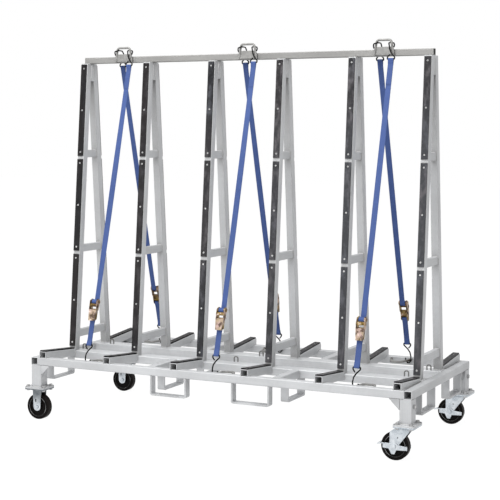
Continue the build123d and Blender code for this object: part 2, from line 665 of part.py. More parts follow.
def ratchet_handle():
    """Channel-shaped lever on the spool's ends that narrows to its grip, with slots for the pawl."""
    end = SPOOL_S - HANDLE_LENGTH
    outline = make_face(Polyline((SPOOL_S, HANDLE_LOW), (SPOOL_S - COVER_START, HANDLE_LOW),
                                 (SPOOL_S - GRIP_START, GRIP_LOW), (end, GRIP_LOW), (end, HANDLE_HIGH),
                                 (SPOOL_S, HANDLE_HIGH), close=True))
    outline += Pos(SPOOL_S, 0) * Circle(HANDLE_EYE_R)
    outline += Pos(SPOOL_S, HANDLE_HIGH / 2) * Circle(HANDLE_HIGH / 2)
    outline -= Pos(SPOOL_S, 0) * Circle(SPOOL_SHAFT_R + RUN_FIT)
    far = PAWL_FAR + PAWL_TRAVEL + 1
    near = PAWL_NEAR - 1
    slot_middle = (PAWL_LOW + PAWL_THICK / 2, SPOOL_S - (far + near) / 2)
    slot = Rectangle(far - near, PAWL_THICK + 2 * SIDE_GAP)
    outline -= Pos(slot_middle[1], slot_middle[0]) * slot
    block = extrude(Plane.YZ * outline, amount=HANDLE_INSIDE + SHEET, both=True)
    sheets = Part()
    for side in (-1, 1):
        inner, outer = handle_plan(SPOOL_S + HANDLE_HIGH, side)
        strip = make_face(Polyline(*inner, *outer[::-1], close=True))
        sheets += extrude(strip, amount=2 * HANDLE_HIGH, both=True)
    left, right = [handle_plan(SPOOL_S - COVER_START, side)[1] for side in (-1, 1)]
    plan = make_face(Polyline(*left[1:], *right[:0:-1], close=True))
    cover = Pos(0, 0, HANDLE_HIGH - SHEET) * extrude(plan, amount=SHEET)
    grip = GRIP_INSIDE + SHEET
    lip = slab((-grip, grip), (end, end + SHEET), (HANDLE_LIP, HANDLE_HIGH))
    return (block & sheets) + cover + lip


def ratchet_pawl():
    """Release bar that slides in the handle's slots, with a finger tab in the middle."""
    far, near = SPOOL_S - PAWL_FAR, SPOOL_S - PAWL_NEAR
    top = PAWL_LOW + PAWL_THICK
    bar = slab((-PAWL_HALF, PAWL_HALF), (far, near), (PAWL_LOW, top))
    tab = slab((-9, 9), (far, far + PAWL_THICK), (PAWL_LOW, top + 6))
    return bar + tab


def ratchets():
    """Fixed parts share a node, moving parts have a node for each ratchet."""
    write("ratchet_frames", *at_rings([STRAP_PLANE * ratchet_frame()]))
    write("ratchet_pins", *at_rings([STRAP_PLANE * ratchet_pin()]))
    spool = [STRAP_PLANE * ratchet_spool(), STRAP_PLANE * webbing_coil()]
    handle = STRAP_PLANE * ratchet_handle()
    pawl = STRAP_PLANE * ratchet_pawl()
    for number, x in enumerate(RING_X, 1):
        for side, turn in (("front", 0), ("rear", 180)):
            place = Pos(x, 0, 0) * Rot(0, 0, turn)
            name = "_%s_%d" % (side, number)
            write("ratchet_spool" + name, *[place * piece for piece in spool])
            write("ratchet_handle" + name, place * handle)
            write("ratchet_pawl" + name, place * pawl)


# Casters, built round their post's axis
def mount_plate(z, thick):
    """Rounded plate with four slots, its underside at z."""
    outline = RectangleRounded(PLATE_LENGTH, PLATE_WIDTH, PLATE_CORNER)
    middle = SLOT_INNER_Y + (SLOT_LENGTH - SLOT_WIDTH) / 2
    for a, b in QUARTERS:
        outline -= Pos(a * SLOT_X, b * middle) * Rot(0, 0, 90) * SlotOverall(SLOT_LENGTH, SLOT_WIDTH)
    return Pos(0, 0, z) * extrude(outline, amount=thick)


def plate_bolts():
    """Flange bolts at the inner ends of the slots: head on the pad, nut under the caster's plate."""
    grip = PAD_THICK + PLATE_THICK
    head = Pos(0, 0, grip) * (cylinder_on(FLANGE_R, FLANGE_THICK) + hexagon(HEX, FLANGE_THICK + 6))
    shank = Pos(0, 0, -BOLT_END) * cylinder_on(PLATE_BOLT_R, grip + BOLT_END)
    nut = Pos(0, 0, -6.5) * (hexagon(HEX, 6.5) - Pos(0, 0, -1) * cylinder_on(PLATE_BOLT_R + RUN_FIT, 9))
    places = [Pos(a * SLOT_X, b * SLOT_INNER_Y, PLATE_BOTTOM) for a, b in QUARTERS]
    return [place * piece for place in places for piece in (head + shank, nut)]


def fork_leg(points, eye_x, eye_r):
    """Both legs of a fork from one outline in XZ, with a rounded eye and a hole for the axle."""
    outline = make_face(Polyline(*points, close=True)) + Pos(eye_x, WHEEL_R) * Circle(eye_r)
    outline -= Pos(eye_x, WHEEL_R) * Circle(AXLE_R + RUN_FIT)
    sheet = extrude(Plane.XZ * outline, amount=LEG_SHEET)
    return Pos(0, -LEG_INSIDE, 0) * sheet + Pos(0, LEG_INSIDE + LEG_SHEET, 0) * sheet


def rigid_fork():
    """Plate with two straight legs, each with a small slot above the axle."""
    top = PLATE_BOTTOM
    legs = fork_leg([(-25, top), (25, top), (20, WHEEL_R), (-20, WHEEL_R)], 0, 20)
    slot = Pos(-7, 94) * Rot(0, 0, 90) * SlotOverall(17, 6)
    window = extrude(Plane.XZ * slot, amount=PLATE_WIDTH, both=True)
    return mount_plate(PLATE_BOTTOM, PLATE_THICK) + legs - window


def swivel_plate():
    """Plate, turned across the cart, with a round ball race under it, bored for the king pin."""
    race = cylinder_on(RACE_R, PLATE_BOTTOM - RACE_Z)
    race = Pos(0, 0, RACE_Z) * chamfer(race.edges().sort_by(Axis.Z)[0], 3)
    bore = Pos(0, 0, RACE_Z - 1) * cylinder_on(KING_R + RUN_FIT, 30)
    return Rot(0, 0, 90) * mount_plate(PLATE_BOTTOM, PLATE_THICK) + race - bore


def king_pin():
    """Pin through race and yoke, with a round head under the yoke."""
    head_top = YOKE_BOTTOM - SIDE_GAP
    head = Pos(0, 0, head_top - 4) * cylinder_on(KING_HEAD_R, 4)
    low = head_top - 2
    return head + Pos(0, 0, low) * cylinder_on(KING_R, PAD_Z - 1 - low)


def swivel_fork():
    """Yoke under the race, with two legs that carry the axle behind the king pin."""
    thick = YOKE_TOP - YOKE_BOTTOM
    outer = LEG_INSIDE + LEG_SHEET
    yoke = Pos(0, 0, YOKE_BOTTOM) * cylinder_on(YOKE_R, thick)
    yoke += slab((-50, 16), (-outer, outer), (YOKE_BOTTOM, YOKE_TOP))
    points = [(16, YOKE_TOP), (-50, YOKE_TOP), (-73, 126), (-73, 78),
              (-TRAIL - 18, 56), (-TRAIL + 19, 68), (16, 132)]
    bore = Pos(0, 0, YOKE_BOTTOM - 1) * cylinder_on(KING_R + RUN_FIT, thick + 2)
    x, z, radius = FORK_HOLE
    hole = extrude(Plane.XZ * (Pos(x, z) * Circle(radius)), amount=PLATE_WIDTH, both=True)
    return yoke + fork_leg(points, -TRAIL, 19) - bore - hole


def brake_lever():
    """Two side plates on the axle, joined beyond the tread by a foot pedal."""
    z = WHEEL_R
    axle = -TRAIL
    left = make_face(Polyline((0, -13), (0, 15), (-52, 12.5), (-79, 7.5), (-79, 4), (-52, 8.5),
                              (-52, -9), close=True))
    right = make_face(Polyline((0, 9), (0, -16), (60, -13), (60, 3), close=True))
    lobe = make_face(Polyline((-26, -8), (14, -8), (2, -34), (-12, -34), close=True))
    outline = left + right + lobe + Circle(17) - Circle(AXLE_R + RUN_FIT)
    sheet = extrude(Plane.XZ * (Pos(axle, z) * outline), amount=LEVER_SHEET)
    outer = LEVER_INSIDE + LEVER_SHEET
    slope = [(-PEDAL_NEAR, 10), (-PEDAL_NEAR, 7.5), (-79, 5), (-79, 7.5)]
    pedal = front_profile([(axle + x, z + rise) for x, rise in slope], 2 * outer)
    return Pos(0, -LEVER_INSIDE, 0) * sheet + Pos(0, outer, 0) * sheet + pedal


def axle(outside, x):
    """Axle bolt, nut and the bush that the wheel turns on. outside is half the stack it clamps."""
    turn = Pos(x, 0, WHEEL_R) * Rot(90, 0, 0)
    head = Pos(0, 0, outside) * hexagon(16, 6)
    bolt = turn * (head + Pos(0, 0, -outside - 9) * cylinder_on(AXLE_R, 2 * outside + 9))
    thread = Pos(0, 0, -1) * cylinder_on(AXLE_R + RUN_FIT, 10)
    nut = turn * Pos(0, 0, -outside - 8) * (hexagon(16, 8) - thread)
    bush = turn * (Cylinder(BUSH_R, 2 * LEG_INSIDE) - Cylinder(AXLE_R + RUN_FIT, 3 * LEG_INSIDE))
    return [bolt, nut, bush]


def wheel(x):
    """Solid tread on a dished core whose hub runs on the bush."""
    tread = fillet(Cylinder(WHEEL_R, WHEEL_WIDTH).edges(), WHEEL_EDGE) - Cylinder(CORE_R, 2 * WHEEL_WIDTH)
    face = WHEEL_WIDTH / 2 - 2
    dish = Cylinder(CORE_R - 4, 2 * DISH_DEEP) - Cylinder(HUB_R + 3, 3 * DISH_DEEP)
    core = Cylinder(CORE_R, 2 * face)
    core -= Pos(0, 0, face) * dish
    core -= Pos(0, 0, -face) * dish
    core += Cylinder(HUB_R, HUB_LENGTH)
    core -= Cylinder(BUSH_R + RUN_FIT, 2 * HUB_LENGTH)
    turn = Pos(x, 0, WHEEL_R) * Rot(90, 0, 0)
    return [turn * tread, turn * core]


def casters():
    """Rigid casters under the left posts, braked swivel casters under the right ones."""
    rigid = [Pos(-POST_X, b * POST_Y, 0) for b in (-1, 1)]
    swivel = [Pos(POST_X, b * POST_Y, 0) for b in (-1, 1)]
    corners = rigid + [place * Rot(0, 0, 90) for place in swivel]
    pad = mount_plate(PAD_Z, PAD_THICK)
    write("caster_pads", *[place * pad for place in corners])
    bolts = plate_bolts()
    write("caster_bolts", *[place * bolt for place in corners for bolt in bolts])
    rigid_axle = axle(LEG_INSIDE + LEG_SHEET, 0)
    write("rigid_forks", *[place * rigid_fork() for place in rigid])
    write("rigid_axles", *[place * piece for place in rigid for piece in rigid_axle])
    write("swivel_plates", *[place * swivel_plate() for place in swivel])
    write("king_pins", *[place * king_pin() for place in swivel])
    swivel_axle = axle(LEVER_INSIDE + LEVER_SHEET + SIDE_GAP, -TRAIL)
    for side, left, right in (("front", rigid[0], swivel[0]), ("rear", rigid[1], swivel[1])):
        write("rigid_wheel_" + side, *[left * piece for piece in wheel(0)])
        write("swivel_wheel_" + side, *[right * piece for piece in wheel(-TRAIL)])
        write("swivel_fork_" + side, right * swivel_fork())
        write("swivel_axle_" + side, *[right * piece for piece in swivel_axle])
        write("brake_lever_" + side, right * brake_lever())


os.makedirs("parts", exist_ok=True)
base_rails()
corner_posts()
fork_loops()
write("strip_screws", *at_both_sides(a_frames() + bunks()))
tie_rings()
hooks()
straps()
ratchets()
casters()
print("strap length between hooks", round(STRAP_LENGTH, 1), "lean in degrees", round(degrees(atan(LEAN)), 3))
print("least gap between turns of webbing", round(coil_least_gap(), 3))
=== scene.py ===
from math import radians

import bpy
import numpy as np
from mathutils import Matrix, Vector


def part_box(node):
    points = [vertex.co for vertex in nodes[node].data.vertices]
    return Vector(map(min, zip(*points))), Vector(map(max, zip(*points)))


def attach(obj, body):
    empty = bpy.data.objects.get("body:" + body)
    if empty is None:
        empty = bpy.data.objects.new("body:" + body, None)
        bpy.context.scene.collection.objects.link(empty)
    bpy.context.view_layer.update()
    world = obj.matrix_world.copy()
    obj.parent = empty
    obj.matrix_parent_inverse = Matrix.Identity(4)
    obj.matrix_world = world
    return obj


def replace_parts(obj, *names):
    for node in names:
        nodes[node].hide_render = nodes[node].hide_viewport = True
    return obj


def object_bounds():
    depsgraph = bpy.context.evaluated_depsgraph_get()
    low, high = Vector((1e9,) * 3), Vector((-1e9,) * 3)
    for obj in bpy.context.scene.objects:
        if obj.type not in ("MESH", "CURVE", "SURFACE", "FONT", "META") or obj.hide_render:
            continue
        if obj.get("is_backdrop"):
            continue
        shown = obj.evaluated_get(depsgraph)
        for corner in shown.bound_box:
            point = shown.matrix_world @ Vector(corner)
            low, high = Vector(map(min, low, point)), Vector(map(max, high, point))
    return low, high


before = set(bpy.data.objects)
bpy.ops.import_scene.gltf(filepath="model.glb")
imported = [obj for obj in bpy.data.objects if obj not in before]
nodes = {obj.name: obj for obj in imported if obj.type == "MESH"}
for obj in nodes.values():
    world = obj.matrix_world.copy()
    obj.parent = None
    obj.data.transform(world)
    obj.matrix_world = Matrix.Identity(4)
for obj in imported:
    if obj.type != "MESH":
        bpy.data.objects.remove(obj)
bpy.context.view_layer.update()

# Sizes in metres: those that the solids have too, and those of the scene's own details
MM = 0.001
RING_X = (-0.702, 0.0, 0.702)
STRAP_TOP = np.array([40.0, -38.0, 1764.0]) * MM
STRAP_BOTTOM = np.array([10.0, -368.0, 385.0]) * MM
WEB_WIDTH = 27.0 * MM
WEB_THICK = 1.8 * MM
SEWN_LENGTH = 120.0 * MM
PART_LENGTH = 25.0 * MM
FLAT_LENGTH = 60.0 * MM
HOOK_WIRE_R = 3.25 * MM
WRAP_GAP = 0.6 * MM
PIN_S = 132.0 * MM
SPOOL_S = 212.0 * MM
PIN_R = 4.0 * MM
SPOOL_R = 7.0 * MM
COIL_GAP = 0.5 * MM
COIL_TURNS = 2.0
COIL_R = 13.6 * MM
SIDE_GAP = 0.3 * MM
MANDREL_HALF = 14.2 * MM
SHAFT_R = 5.0 * MM
SHAFT_HALF = 21.5 * MM
SHAFT_HEAD_R = 8.0 * MM
SHAFT_HEAD_HALF = 22.8 * MM
SHAFT_TIP_R = 7.2 * MM
SHAFT_TIP_HALF = 23.5 * MM
TEETH = 12
TOOTH_R = 15.0 * MM
TOOTH_ROOT_R = 12.0 * MM
TOOTHED_INSIDE = 16.9 * MM
TOOTHED_OUTSIDE = 18.9 * MM
FRAME_PITCH = 0.3693
FRAME_X = [FRAME_PITCH * (i - 2.5) for i in range(6)]
TUBE = 38.1 * MM
HALF_Y = 431.8 * MM
DECK_Z = 311.0 * MM
LEG_TOP_Z = 1779.0 * MM
LEG_FOOT_Y = 168.0 * MM
LEG_HEAD_Y = 45.0 * MM
LEAN = (LEG_FOOT_Y - LEG_HEAD_Y) / (LEG_TOP_Z - DECK_Z)
LEAN_COS = 1 / np.hypot(1, LEAN)
LEAN_SIN = LEAN * LEAN_COS
STRIP_THICK = 6.5 * MM
STRIP_LENGTH = 470.0 * MM
STRIP_GAP = 17.0 * MM
STRIP_HEAD_GAP = 6.0 * MM
SCREW_INSET = 20.0 * MM
SCREW_SHANK_R = 2.5 * MM
SCREW_HEAD_R = 5.25 * MM
SCREW_FACE_R = 4.05 * MM
SCREW_TIP_Z = -18.0 * MM
SCREW_SEAT_Z = -4.0 * MM
SCREW_RIM_Z = -2.2 * MM
SCREW_FACE_Z = -1.0 * MM
CROSS_ARM = 2.7 * MM
CROSS_CORNER = 1.0 * MM
CROSS_FLOOR_Z = -2.4 * MM
CROSS_TAPER = 0.7
BUNK_START = 174.0 * MM
BUNK_END = 430.0 * MM
BUNK_SCREW_INSET = 38.0 * MM
BUNK_LIFT = -7.0 * MM
HALF_X = 990.6 * MM
SILL_OUTER = 168.7 * MM
CROSS_X = 328.0 * MM
RUNG_Z = (394.0 * MM, 830.0 * MM, 1316.0 * MM)
RUNG_WIDTH = 25.4 * MM
HEAD_PLATE_Z = 1690.0 * MM
TOP_TUBE = 31.75 * MM
SIDE_LOOP_X = 214.5 * MM
SIDE_LOOP_HALF = 96.5 * MM
END_LOOP_Y = 200.5 * MM
END_LOOP_HALF = 97.5 * MM
LOOP_THICK = 8.0 * MM
POST = 57.15 * MM
POST_BOTTOM = 165.0 * MM
GUSSET = 48.0 * MM
GUSSET_THICK = 6.0 * MM
BEAD_R = 2.4 * MM
BEAD_INSET = 2.0 * MM
FOOT_BEAD_INSET = 3.0 * MM
GUSSET_BEAD_INSET = 4.0 * MM
POST_BEAD_INSET = 5.0 * MM
PLATE_BEAD_SINK = 0.8 * MM
FOOT_BEAD_HALF = 17.0 * MM
RUNG_BEAD_HALF = 11.0 * MM
RAIL_BEAD_HALF = 16.0 * MM
SILL_BEAD_Z = (284.0 * MM, 309.0 * MM)
# Radii of the wheels' painted highlight ring
WHEEL_RING_IN = 47.0 * MM
WHEEL_RING_OUT = 48.8 * MM
WHEEL_RING_SOFT = 0.4 * MM
THREAD_ROW = 7.5 * MM
ZIGZAG_PITCH = 5.0 * MM
ZIGZAG_WIDTH = 4.0 * MM

# Points along the straps
ARC_POINTS = 15
PART_POINTS = 8
FLAT_POINTS = 12

# Stage, with places in metres and angles in degrees
FLOOR_HALF = 30.0
FLOOR_WHITE = 0.85
FLOOR_GLOW = 1.125
WORLD_LEVEL = 0.38
LIGHT_AIM = np.array([0.0, 0.0, 0.8])
CAMERA_PLACE = (2.8117, -5.7845, 1.4098)
CAMERA_YAW = 25.8903
CAMERA_DOWN = 2.6812
CAMERA_ROLL = 0.1321
CAMERA_LENS = 94.585
CAMERA_SENSOR = 36.0
CAMERA_SHIFT = -0.10536
CAMERA_REACH = 200.0


# Shader building
class Value:
    """A socket in a material's node tree. Arithmetic on it adds math nodes."""

    def __init__(self, tree, socket):
        self.tree = tree
        self.socket = socket

    def node(self, kind, settings=None, inputs=None, output=0):
        """Any other node, with its settings and its inputs by name or number, giving one output."""
        return add_node(self.tree, kind, settings, inputs, output)

    def math(self, operation, *values):
        """A math node with these values as its inputs."""
        return self.node("ShaderNodeMath", {"operation": operation}, dict(enumerate(values)))

    def __add__(self, other):
        return self.math("ADD", self, other)

    def __radd__(self, other):
        return self.math("ADD", other, self)

    def __sub__(self, other):
        return self.math("SUBTRACT", self, other)

    def __rsub__(self, other):
        return self.math("SUBTRACT", other, self)

    def __mul__(self, other):
        return self.math("MULTIPLY", self, other)

    def step(self, low, high, to_low=0.0, to_high=1.0):
        """Smooth change from to_low to to_high as the value goes from low to high."""
        settings = {"interpolation_type": "SMOOTHSTEP"}
        inputs = {"Value": self, "From Min": low, "From Max": high, "To Min": to_low, "To Max": to_high}
        return self.node("ShaderNodeMapRange", settings, inputs)

    def mix(self, low, high):
        """Colour between low and high, by this value."""
        inputs = {0: self, 6: low, 7: high}
        return self.node("ShaderNodeMix", {"data_type": "RGBA"}, inputs, 2)

    def wave(self, pitch):
        """A wave from 0 to 1 that repeats at this pitch."""
        turned = self * (2 * np.pi / pitch)
        return turned.math("SINE", turned) * 0.5 + 0.5


def add_node(tree, kind, settings=None, inputs=None, output=0):
    """Adds one node to a tree and gives one of its outputs as a Value."""
    made = tree.nodes.new(kind)
    for key, setting in (settings or {}).items():
        setattr(made, key, setting)
    for key, value in (inputs or {}).items():
        if isinstance(value, Value):
            tree.links.new(value.socket, made.inputs[key])
        else:
            made.inputs[key].default_value = value
    return Value(tree, made.outputs[output])


def split(vector):
    """The three parts of a vector value."""
    made = vector.tree.nodes.new("ShaderNodeSeparateXYZ")
    vector.tree.links.new(vector.socket, made.inputs[0])
    return [Value(vector.tree, socket) for socket in made.outputs]


def combine(x, y, z):
    """A vector from three values."""
    return x.node("ShaderNodeCombineXYZ", None, {0: x, 1: y, 2: z})


def noise(vector, scale, detail=2.0):
    """Noise from 0 to 1 at a place, with this many patches to the metre."""
    inputs = {"Vector": vector, "Scale": scale, "Detail": detail}
    return vector.node("ShaderNodeTexNoise", None, inputs, "Fac")


def cells(vector, scale):
    """Cell pattern at a place, as each cell's own colour."""
    return vector.node("ShaderNodeTexVoronoi", None, {"Vector": vector, "Scale": scale}, "Color")


def grey(level, red=1.0, blue=1.0):
    """A grey colour of this linear level, warmed or cooled by its shares of red and blue."""
    return (level * red, level, level * blue, 1.0)


class Finish:
    """A new material: its place in the object, its eased edges and its surface."""

    def __init__(self, name, edge=0.8 * MM):
        self.material = bpy.data.materials.new(name)
        self.material.use_nodes = True
        self.tree = self.material.node_tree
        self.tree.nodes.clear()
        self.place = add_node(self.tree, "ShaderNodeTexCoord", None, None, "Object")
        self.eased = add_node(self.tree, "ShaderNodeBevel", {"samples": 4}, {"Radius": edge})

    def attribute(self, name):
        """A value that the mesh carries on its points."""
        return add_node(self.tree, "ShaderNodeAttribute", {"attribute_name": name}, None, "Fac")

    def edge(self):
        """1 along sharp edges and 0 on faces."""
        flat = add_node(self.tree, "ShaderNodeNewGeometry", None, None, "Normal")
        inputs = {0: self.eased, 1: flat}
        same = add_node(self.tree, "ShaderNodeVectorMath", {"operation": "DOT_PRODUCT"}, inputs, "Value")
        return (1.0 - same).step(0.01, 0.2)

    def depth(self, reach, closed=0.15, clear=0.7):
        """0 where the share of open directions within reach is under closed, and 1 over clear."""
        inputs = {"Distance": reach}
        open_air = add_node(self.tree, "ShaderNodeAmbientOcclusion", {"samples": 6}, inputs, "AO")
        return open_air.step(closed, clear)

    def bump(self, height, depth, strength=1.0):
        """Normal of the eased surface, roughened by a height of this depth."""
        inputs = {"Height": height, "Distance": depth, "Strength": strength, "Normal": self.eased}
        return add_node(self.tree, "ShaderNodeBump", None, inputs)

    def surface(self, **inputs):
        """The material's surface, from values named like its sockets with _ for a space."""
        named = {key.replace("_", " "): value for key, value in inputs.items()}
        shader = add_node(self.tree, "ShaderNodeBsdfPrincipled", None, named)
        output = self.tree.nodes.new("ShaderNodeOutputMaterial")
        self.tree.links.new(shader.socket, output.inputs["Surface"])
        return self.material


# Materials
def drawn_metal(name, run, dull=0.52, light=0.66, red=0.985, blue=1.02, shade_share=0.45):
    """Mill-finish aluminium: drawing lines along the run, faint clouding, rubbed edges.

    Corners and hollows are darkened with painted shade, to the given share of the dull tone; on the legs
    it reaches far, over the faces between front and rear leg, to a fixed share. A share over 1 paints
    light into the hollows instead.
    """
    finish = Finish(name, 0.9 * MM)
    x, y, z = split(finish.place)
    if run == "leg":
        y = y.math("ABSOLUTE", y) + z * LEAN
    fine, long = 380.0, 2.5
    scale = [long if axis == run or (axis, run) == ("z", "leg") else fine for axis in "xyz"]
    lines = noise(combine(x * scale[0], y * scale[1], z * scale[2]), 1.0, 3.0)
    cloud = noise(finish.place, 4.0, 4.0)
    spots = noise(finish.place, 60.0, 3.0)
    shade = (cloud * 0.55 + lines * 0.3 + spots * 0.15).step(0.3, 0.7)
    colour = shade.mix(grey(dull, red, blue), grey(light, red, blue))
    colour = (finish.edge() * 0.5).mix(colour, grey(light + 0.12))
    # Painted shade in corners and hollows, and on the legs between the front and rear leg.
    if run == "leg":
        colour = finish.depth(300.0 * MM, 0.6, 1.0).mix(grey(dull * 0.72), colour)
    else:
        colour = finish.depth(30.0 * MM).mix(grey(dull * shade_share), colour)
    rough = 0.42 + lines * 0.14 + spots * 0.10
    return finish.surface(Base_Color=colour, Metallic=0.4, Roughness=rough,
                          Normal=finish.bump(lines, 0.06 * MM, 0.5))


def plate_metal(name):
    """Rolled flat bar: fine speckle, soft blotches and painted shade in the corners."""
    finish = Finish(name, 1.0 * MM)
    speckle = noise(finish.place, 700.0, 2.0)
    cloud = noise(finish.place, 9.0, 4.0).step(0.3, 0.7)
    colour = cloud.mix(grey(0.46, 0.985, 1.02), grey(0.62, 0.985, 1.02))
    colour = (finish.edge() * 0.5).mix(colour, grey(0.74))
    # Painted shade in corners and hollows.
    colour = finish.depth(40.0 * MM).mix(grey(0.18), colour)
    return finish.surface(Base_Color=colour, Metallic=0.4, Roughness=0.40 + speckle * 0.16,
                          Normal=finish.bump(speckle, 0.05 * MM, 0.5))


def weld_metal(name):
    """Weld metal: even ripples along each bead, dull grey with darker valleys."""
    finish = Finish(name, 0.2 * MM)
    ripple = finish.attribute("along").wave(3.2 * MM)
    speckle = noise(finish.place, 500.0, 3.0)
    colour = (ripple * 0.6 + speckle * 0.4).mix(grey(0.34), grey(0.60))
    return finish.surface(Base_Color=colour, Metallic=0.5, Roughness=0.36 + speckle * 0.16,
                          Normal=finish.bump(ripple, 0.5 * MM, 0.8))


def ring_metal(name, tone, mark_reach):
    """Welded bar: even grey, with a dark brown mark within the given distance of the rail."""
    finish = Finish(name, 0.6 * MM)
    speckle = noise(finish.place, 300.0, 3.0)
    cloud = noise(finish.place, 45.0, 4.0).step(0.3, 0.7)
    blend = cloud * 0.6 + speckle * 0.4
    colour = blend.mix(grey(tone * 0.78, 1.01, 0.97), grey(tone * 1.15, 1.01, 0.97))
    if mark_reach:
        y = split(finish.place)[1]
        inside = HALF_Y - TUBE - y.math("ABSOLUTE", y)
        mark = (inside + (cloud - 0.5) * 0.03).step(mark_reach * 0.4, mark_reach, 1.0, 0.0)
        colour = (mark * 0.9).mix(colour, (0.045, 0.032, 0.022, 1.0))
    return finish.surface(Base_Color=colour, Metallic=0.35, Roughness=0.5 + speckle * 0.2,
                          Normal=finish.bump(speckle, 0.15 * MM, 0.5))


def bright_metal(name, tone=0.56):
    """Bright fasteners: light steel with a turned sheen, and painted shade under the heads."""
    finish = Finish(name, 0.3 * MM)
    speckle = noise(finish.place, 900.0, 2.0)
    colour = speckle.mix(grey(tone * 0.82), grey(tone * 1.18))
    # Painted shade under the heads and in the recesses.
    colour = finish.depth(5.0 * MM).mix(grey(0.06), colour)
    return finish.surface(Base_Color=colour, Metallic=0.9, Roughness=0.24 + speckle * 0.12,
                          Normal=finish.bump(speckle, 0.03 * MM, 0.4))


def zinc(name, low, high, shaded_upper_tone=1.0):
    """Bright zinc plate: cool tint, faint crystal patches, press marks, painted shade where parts meet.

    Between the heights low and high its tone goes over to the upper tone, a painted shade that darkens
    the parts towards the top.
    """
    finish = Finish(name, 0.6 * MM)
    tone = split(cells(finish.place, 260.0))[0]
    cloud = noise(finish.place, 40.0, 3.0).step(0.3, 0.7)
    # Painted shade: darker towards the top between the heights low and high.
    height = split(finish.place)[2].step(low, high)

    def toned(lower, upper):
        """Colour that goes with the height from the lower one to the upper one in its tone."""
        return height.mix((*lower, 1.0), (*[part * shaded_upper_tone for part in upper], 1.0))

    dull = toned((0.46, 0.50, 0.54), (0.46, 0.51, 0.56))
    light = toned((0.73, 0.76, 0.79), (0.76, 0.81, 0.85))
    colour = (tone * 0.3 + cloud * 0.7).mix(dull, light)
    colour = finish.edge().mix(colour, (0.80, 0.83, 0.86, 1.0))
    # Painted shade where parts meet.
    colour = finish.depth(26.0 * MM).mix((0.05, 0.06, 0.08, 1.0), colour)
    rough = 0.22 + tone * 0.10 + cloud * 0.10
    return finish.surface(Base_Color=colour, Metallic=0.85, Roughness=rough,
                          Normal=finish.bump(cloud, 0.08 * MM, 0.4))


def yellow_zinc(name, gold, rose, dark=0.5):
    """Yellow passivated zinc: gold drifting to rose and green, with dark and pale patches at random
    painted as reflections.

    The edges are paler, and the corners where parts meet get painted shade.
    """
    finish = Finish(name, 0.5 * MM)
    drift = noise(finish.place, 38.0, 3.0).step(0.36, 0.64)
    green = noise(finish.place, 90.0, 3.0).step(0.5, 0.72)
    reflection_noise = noise(finish.place, 52.0, 4.0)
    speckle = noise(finish.place, 900.0, 2.0)
    colour = drift.mix(gold, rose)
    colour = (green * 0.4).mix(colour, (0.26, 0.25, 0.10, 1.0))
    # Painted reflections: dark patches at random, at the share dark.
    colour = (reflection_noise.step(0.47, 0.62) * dark).mix(colour, (0.045, 0.026, 0.018, 1.0))
    # Painted reflections: pale patches at random.
    colour = (reflection_noise.step(0.30, 0.42, 1.0, 0.0) * 0.8).mix(colour, (0.80, 0.66, 0.58, 1.0))
    colour = (finish.edge() * 0.45).mix(colour, (0.70, 0.58, 0.46, 1.0))
    # Painted shade where parts meet.
    colour = finish.depth(14.0 * MM).mix(grey(0.010), colour)
    return finish.surface(Base_Color=colour, Metallic=1.0, Roughness=0.24 + speckle * 0.14,
                          Normal=finish.bump(reflection_noise, 0.4 * MM, 0.5))


def rubber(name, sheen_level=1.0, shine=0.2):
    """Dense black rubber: fine grain, pale edges and scuffs, with a painted sheen that makes it paler
    towards the cart's right end and lower down and brings the scuffs out more there.
    """
    finish = Finish(name, 1.0 * MM)
    x, y, z = split(finish.place)
    grain = noise(finish.place, 1400.0, 2.0)
    smudge = noise(combine(x * 40.0, y * 30.0, z * 16.0), 1.0, 5.0).step(0.42, 0.72)
    scuff = noise(finish.place, 75.0, 5.0).step(0.48, 0.72)
    batch = noise(combine(x * 3.1, y * 2.0, z * 1.6), 1.0, 1.0).step(0.4, 0.6)
    dark = batch.mix((0.0030, 0.0034, 0.0045, 1.0), (0.010, 0.0075, 0.0080, 1.0))
    pale = batch.mix((0.122, 0.127, 0.146, 1.0), (0.140, 0.130, 0.138, 1.0))
    # Painted sheen: the dark tone pales towards the cart's right end, most below 1.3 m.
    paler = x.step(-0.95, 1.0) * z.step(1.3, 1.7, sheen_level, 0.4 * sheen_level)
    dark = paler.mix(dark, (0.052, 0.054, 0.060, 1.0))
    # Painted sheen: the smudges and scuffs show more towards the right end.
    scuff_and_sheen = x.step(-0.95, 0.3, 0.12 * sheen_level, sheen_level)
    colour = ((smudge * 0.75 + scuff * 0.25) * scuff_and_sheen).mix(dark, pale)
    colour = (finish.edge() * 0.25).mix(colour, grey(0.05))
    return finish.surface(Base_Color=colour, Roughness=0.30 + grain * 0.10 + scuff * 0.26,
                          Specular_IOR_Level=shine, Normal=finish.bump(grain, 0.12 * MM, 0.6))


def coated_wire(name):
    """Black dipped coating on the hooks: glossy, slightly wavy."""
    finish = Finish(name, 0.2 * MM)
    wave = noise(finish.place, 160.0, 2.0)
    return finish.surface(Base_Color=wave.mix(grey(0.002), grey(0.006)), Roughness=0.26 + wave * 0.12,
                          Specular_IOR_Level=0.12, Normal=finish.bump(wave, 0.1 * MM, 0.4))


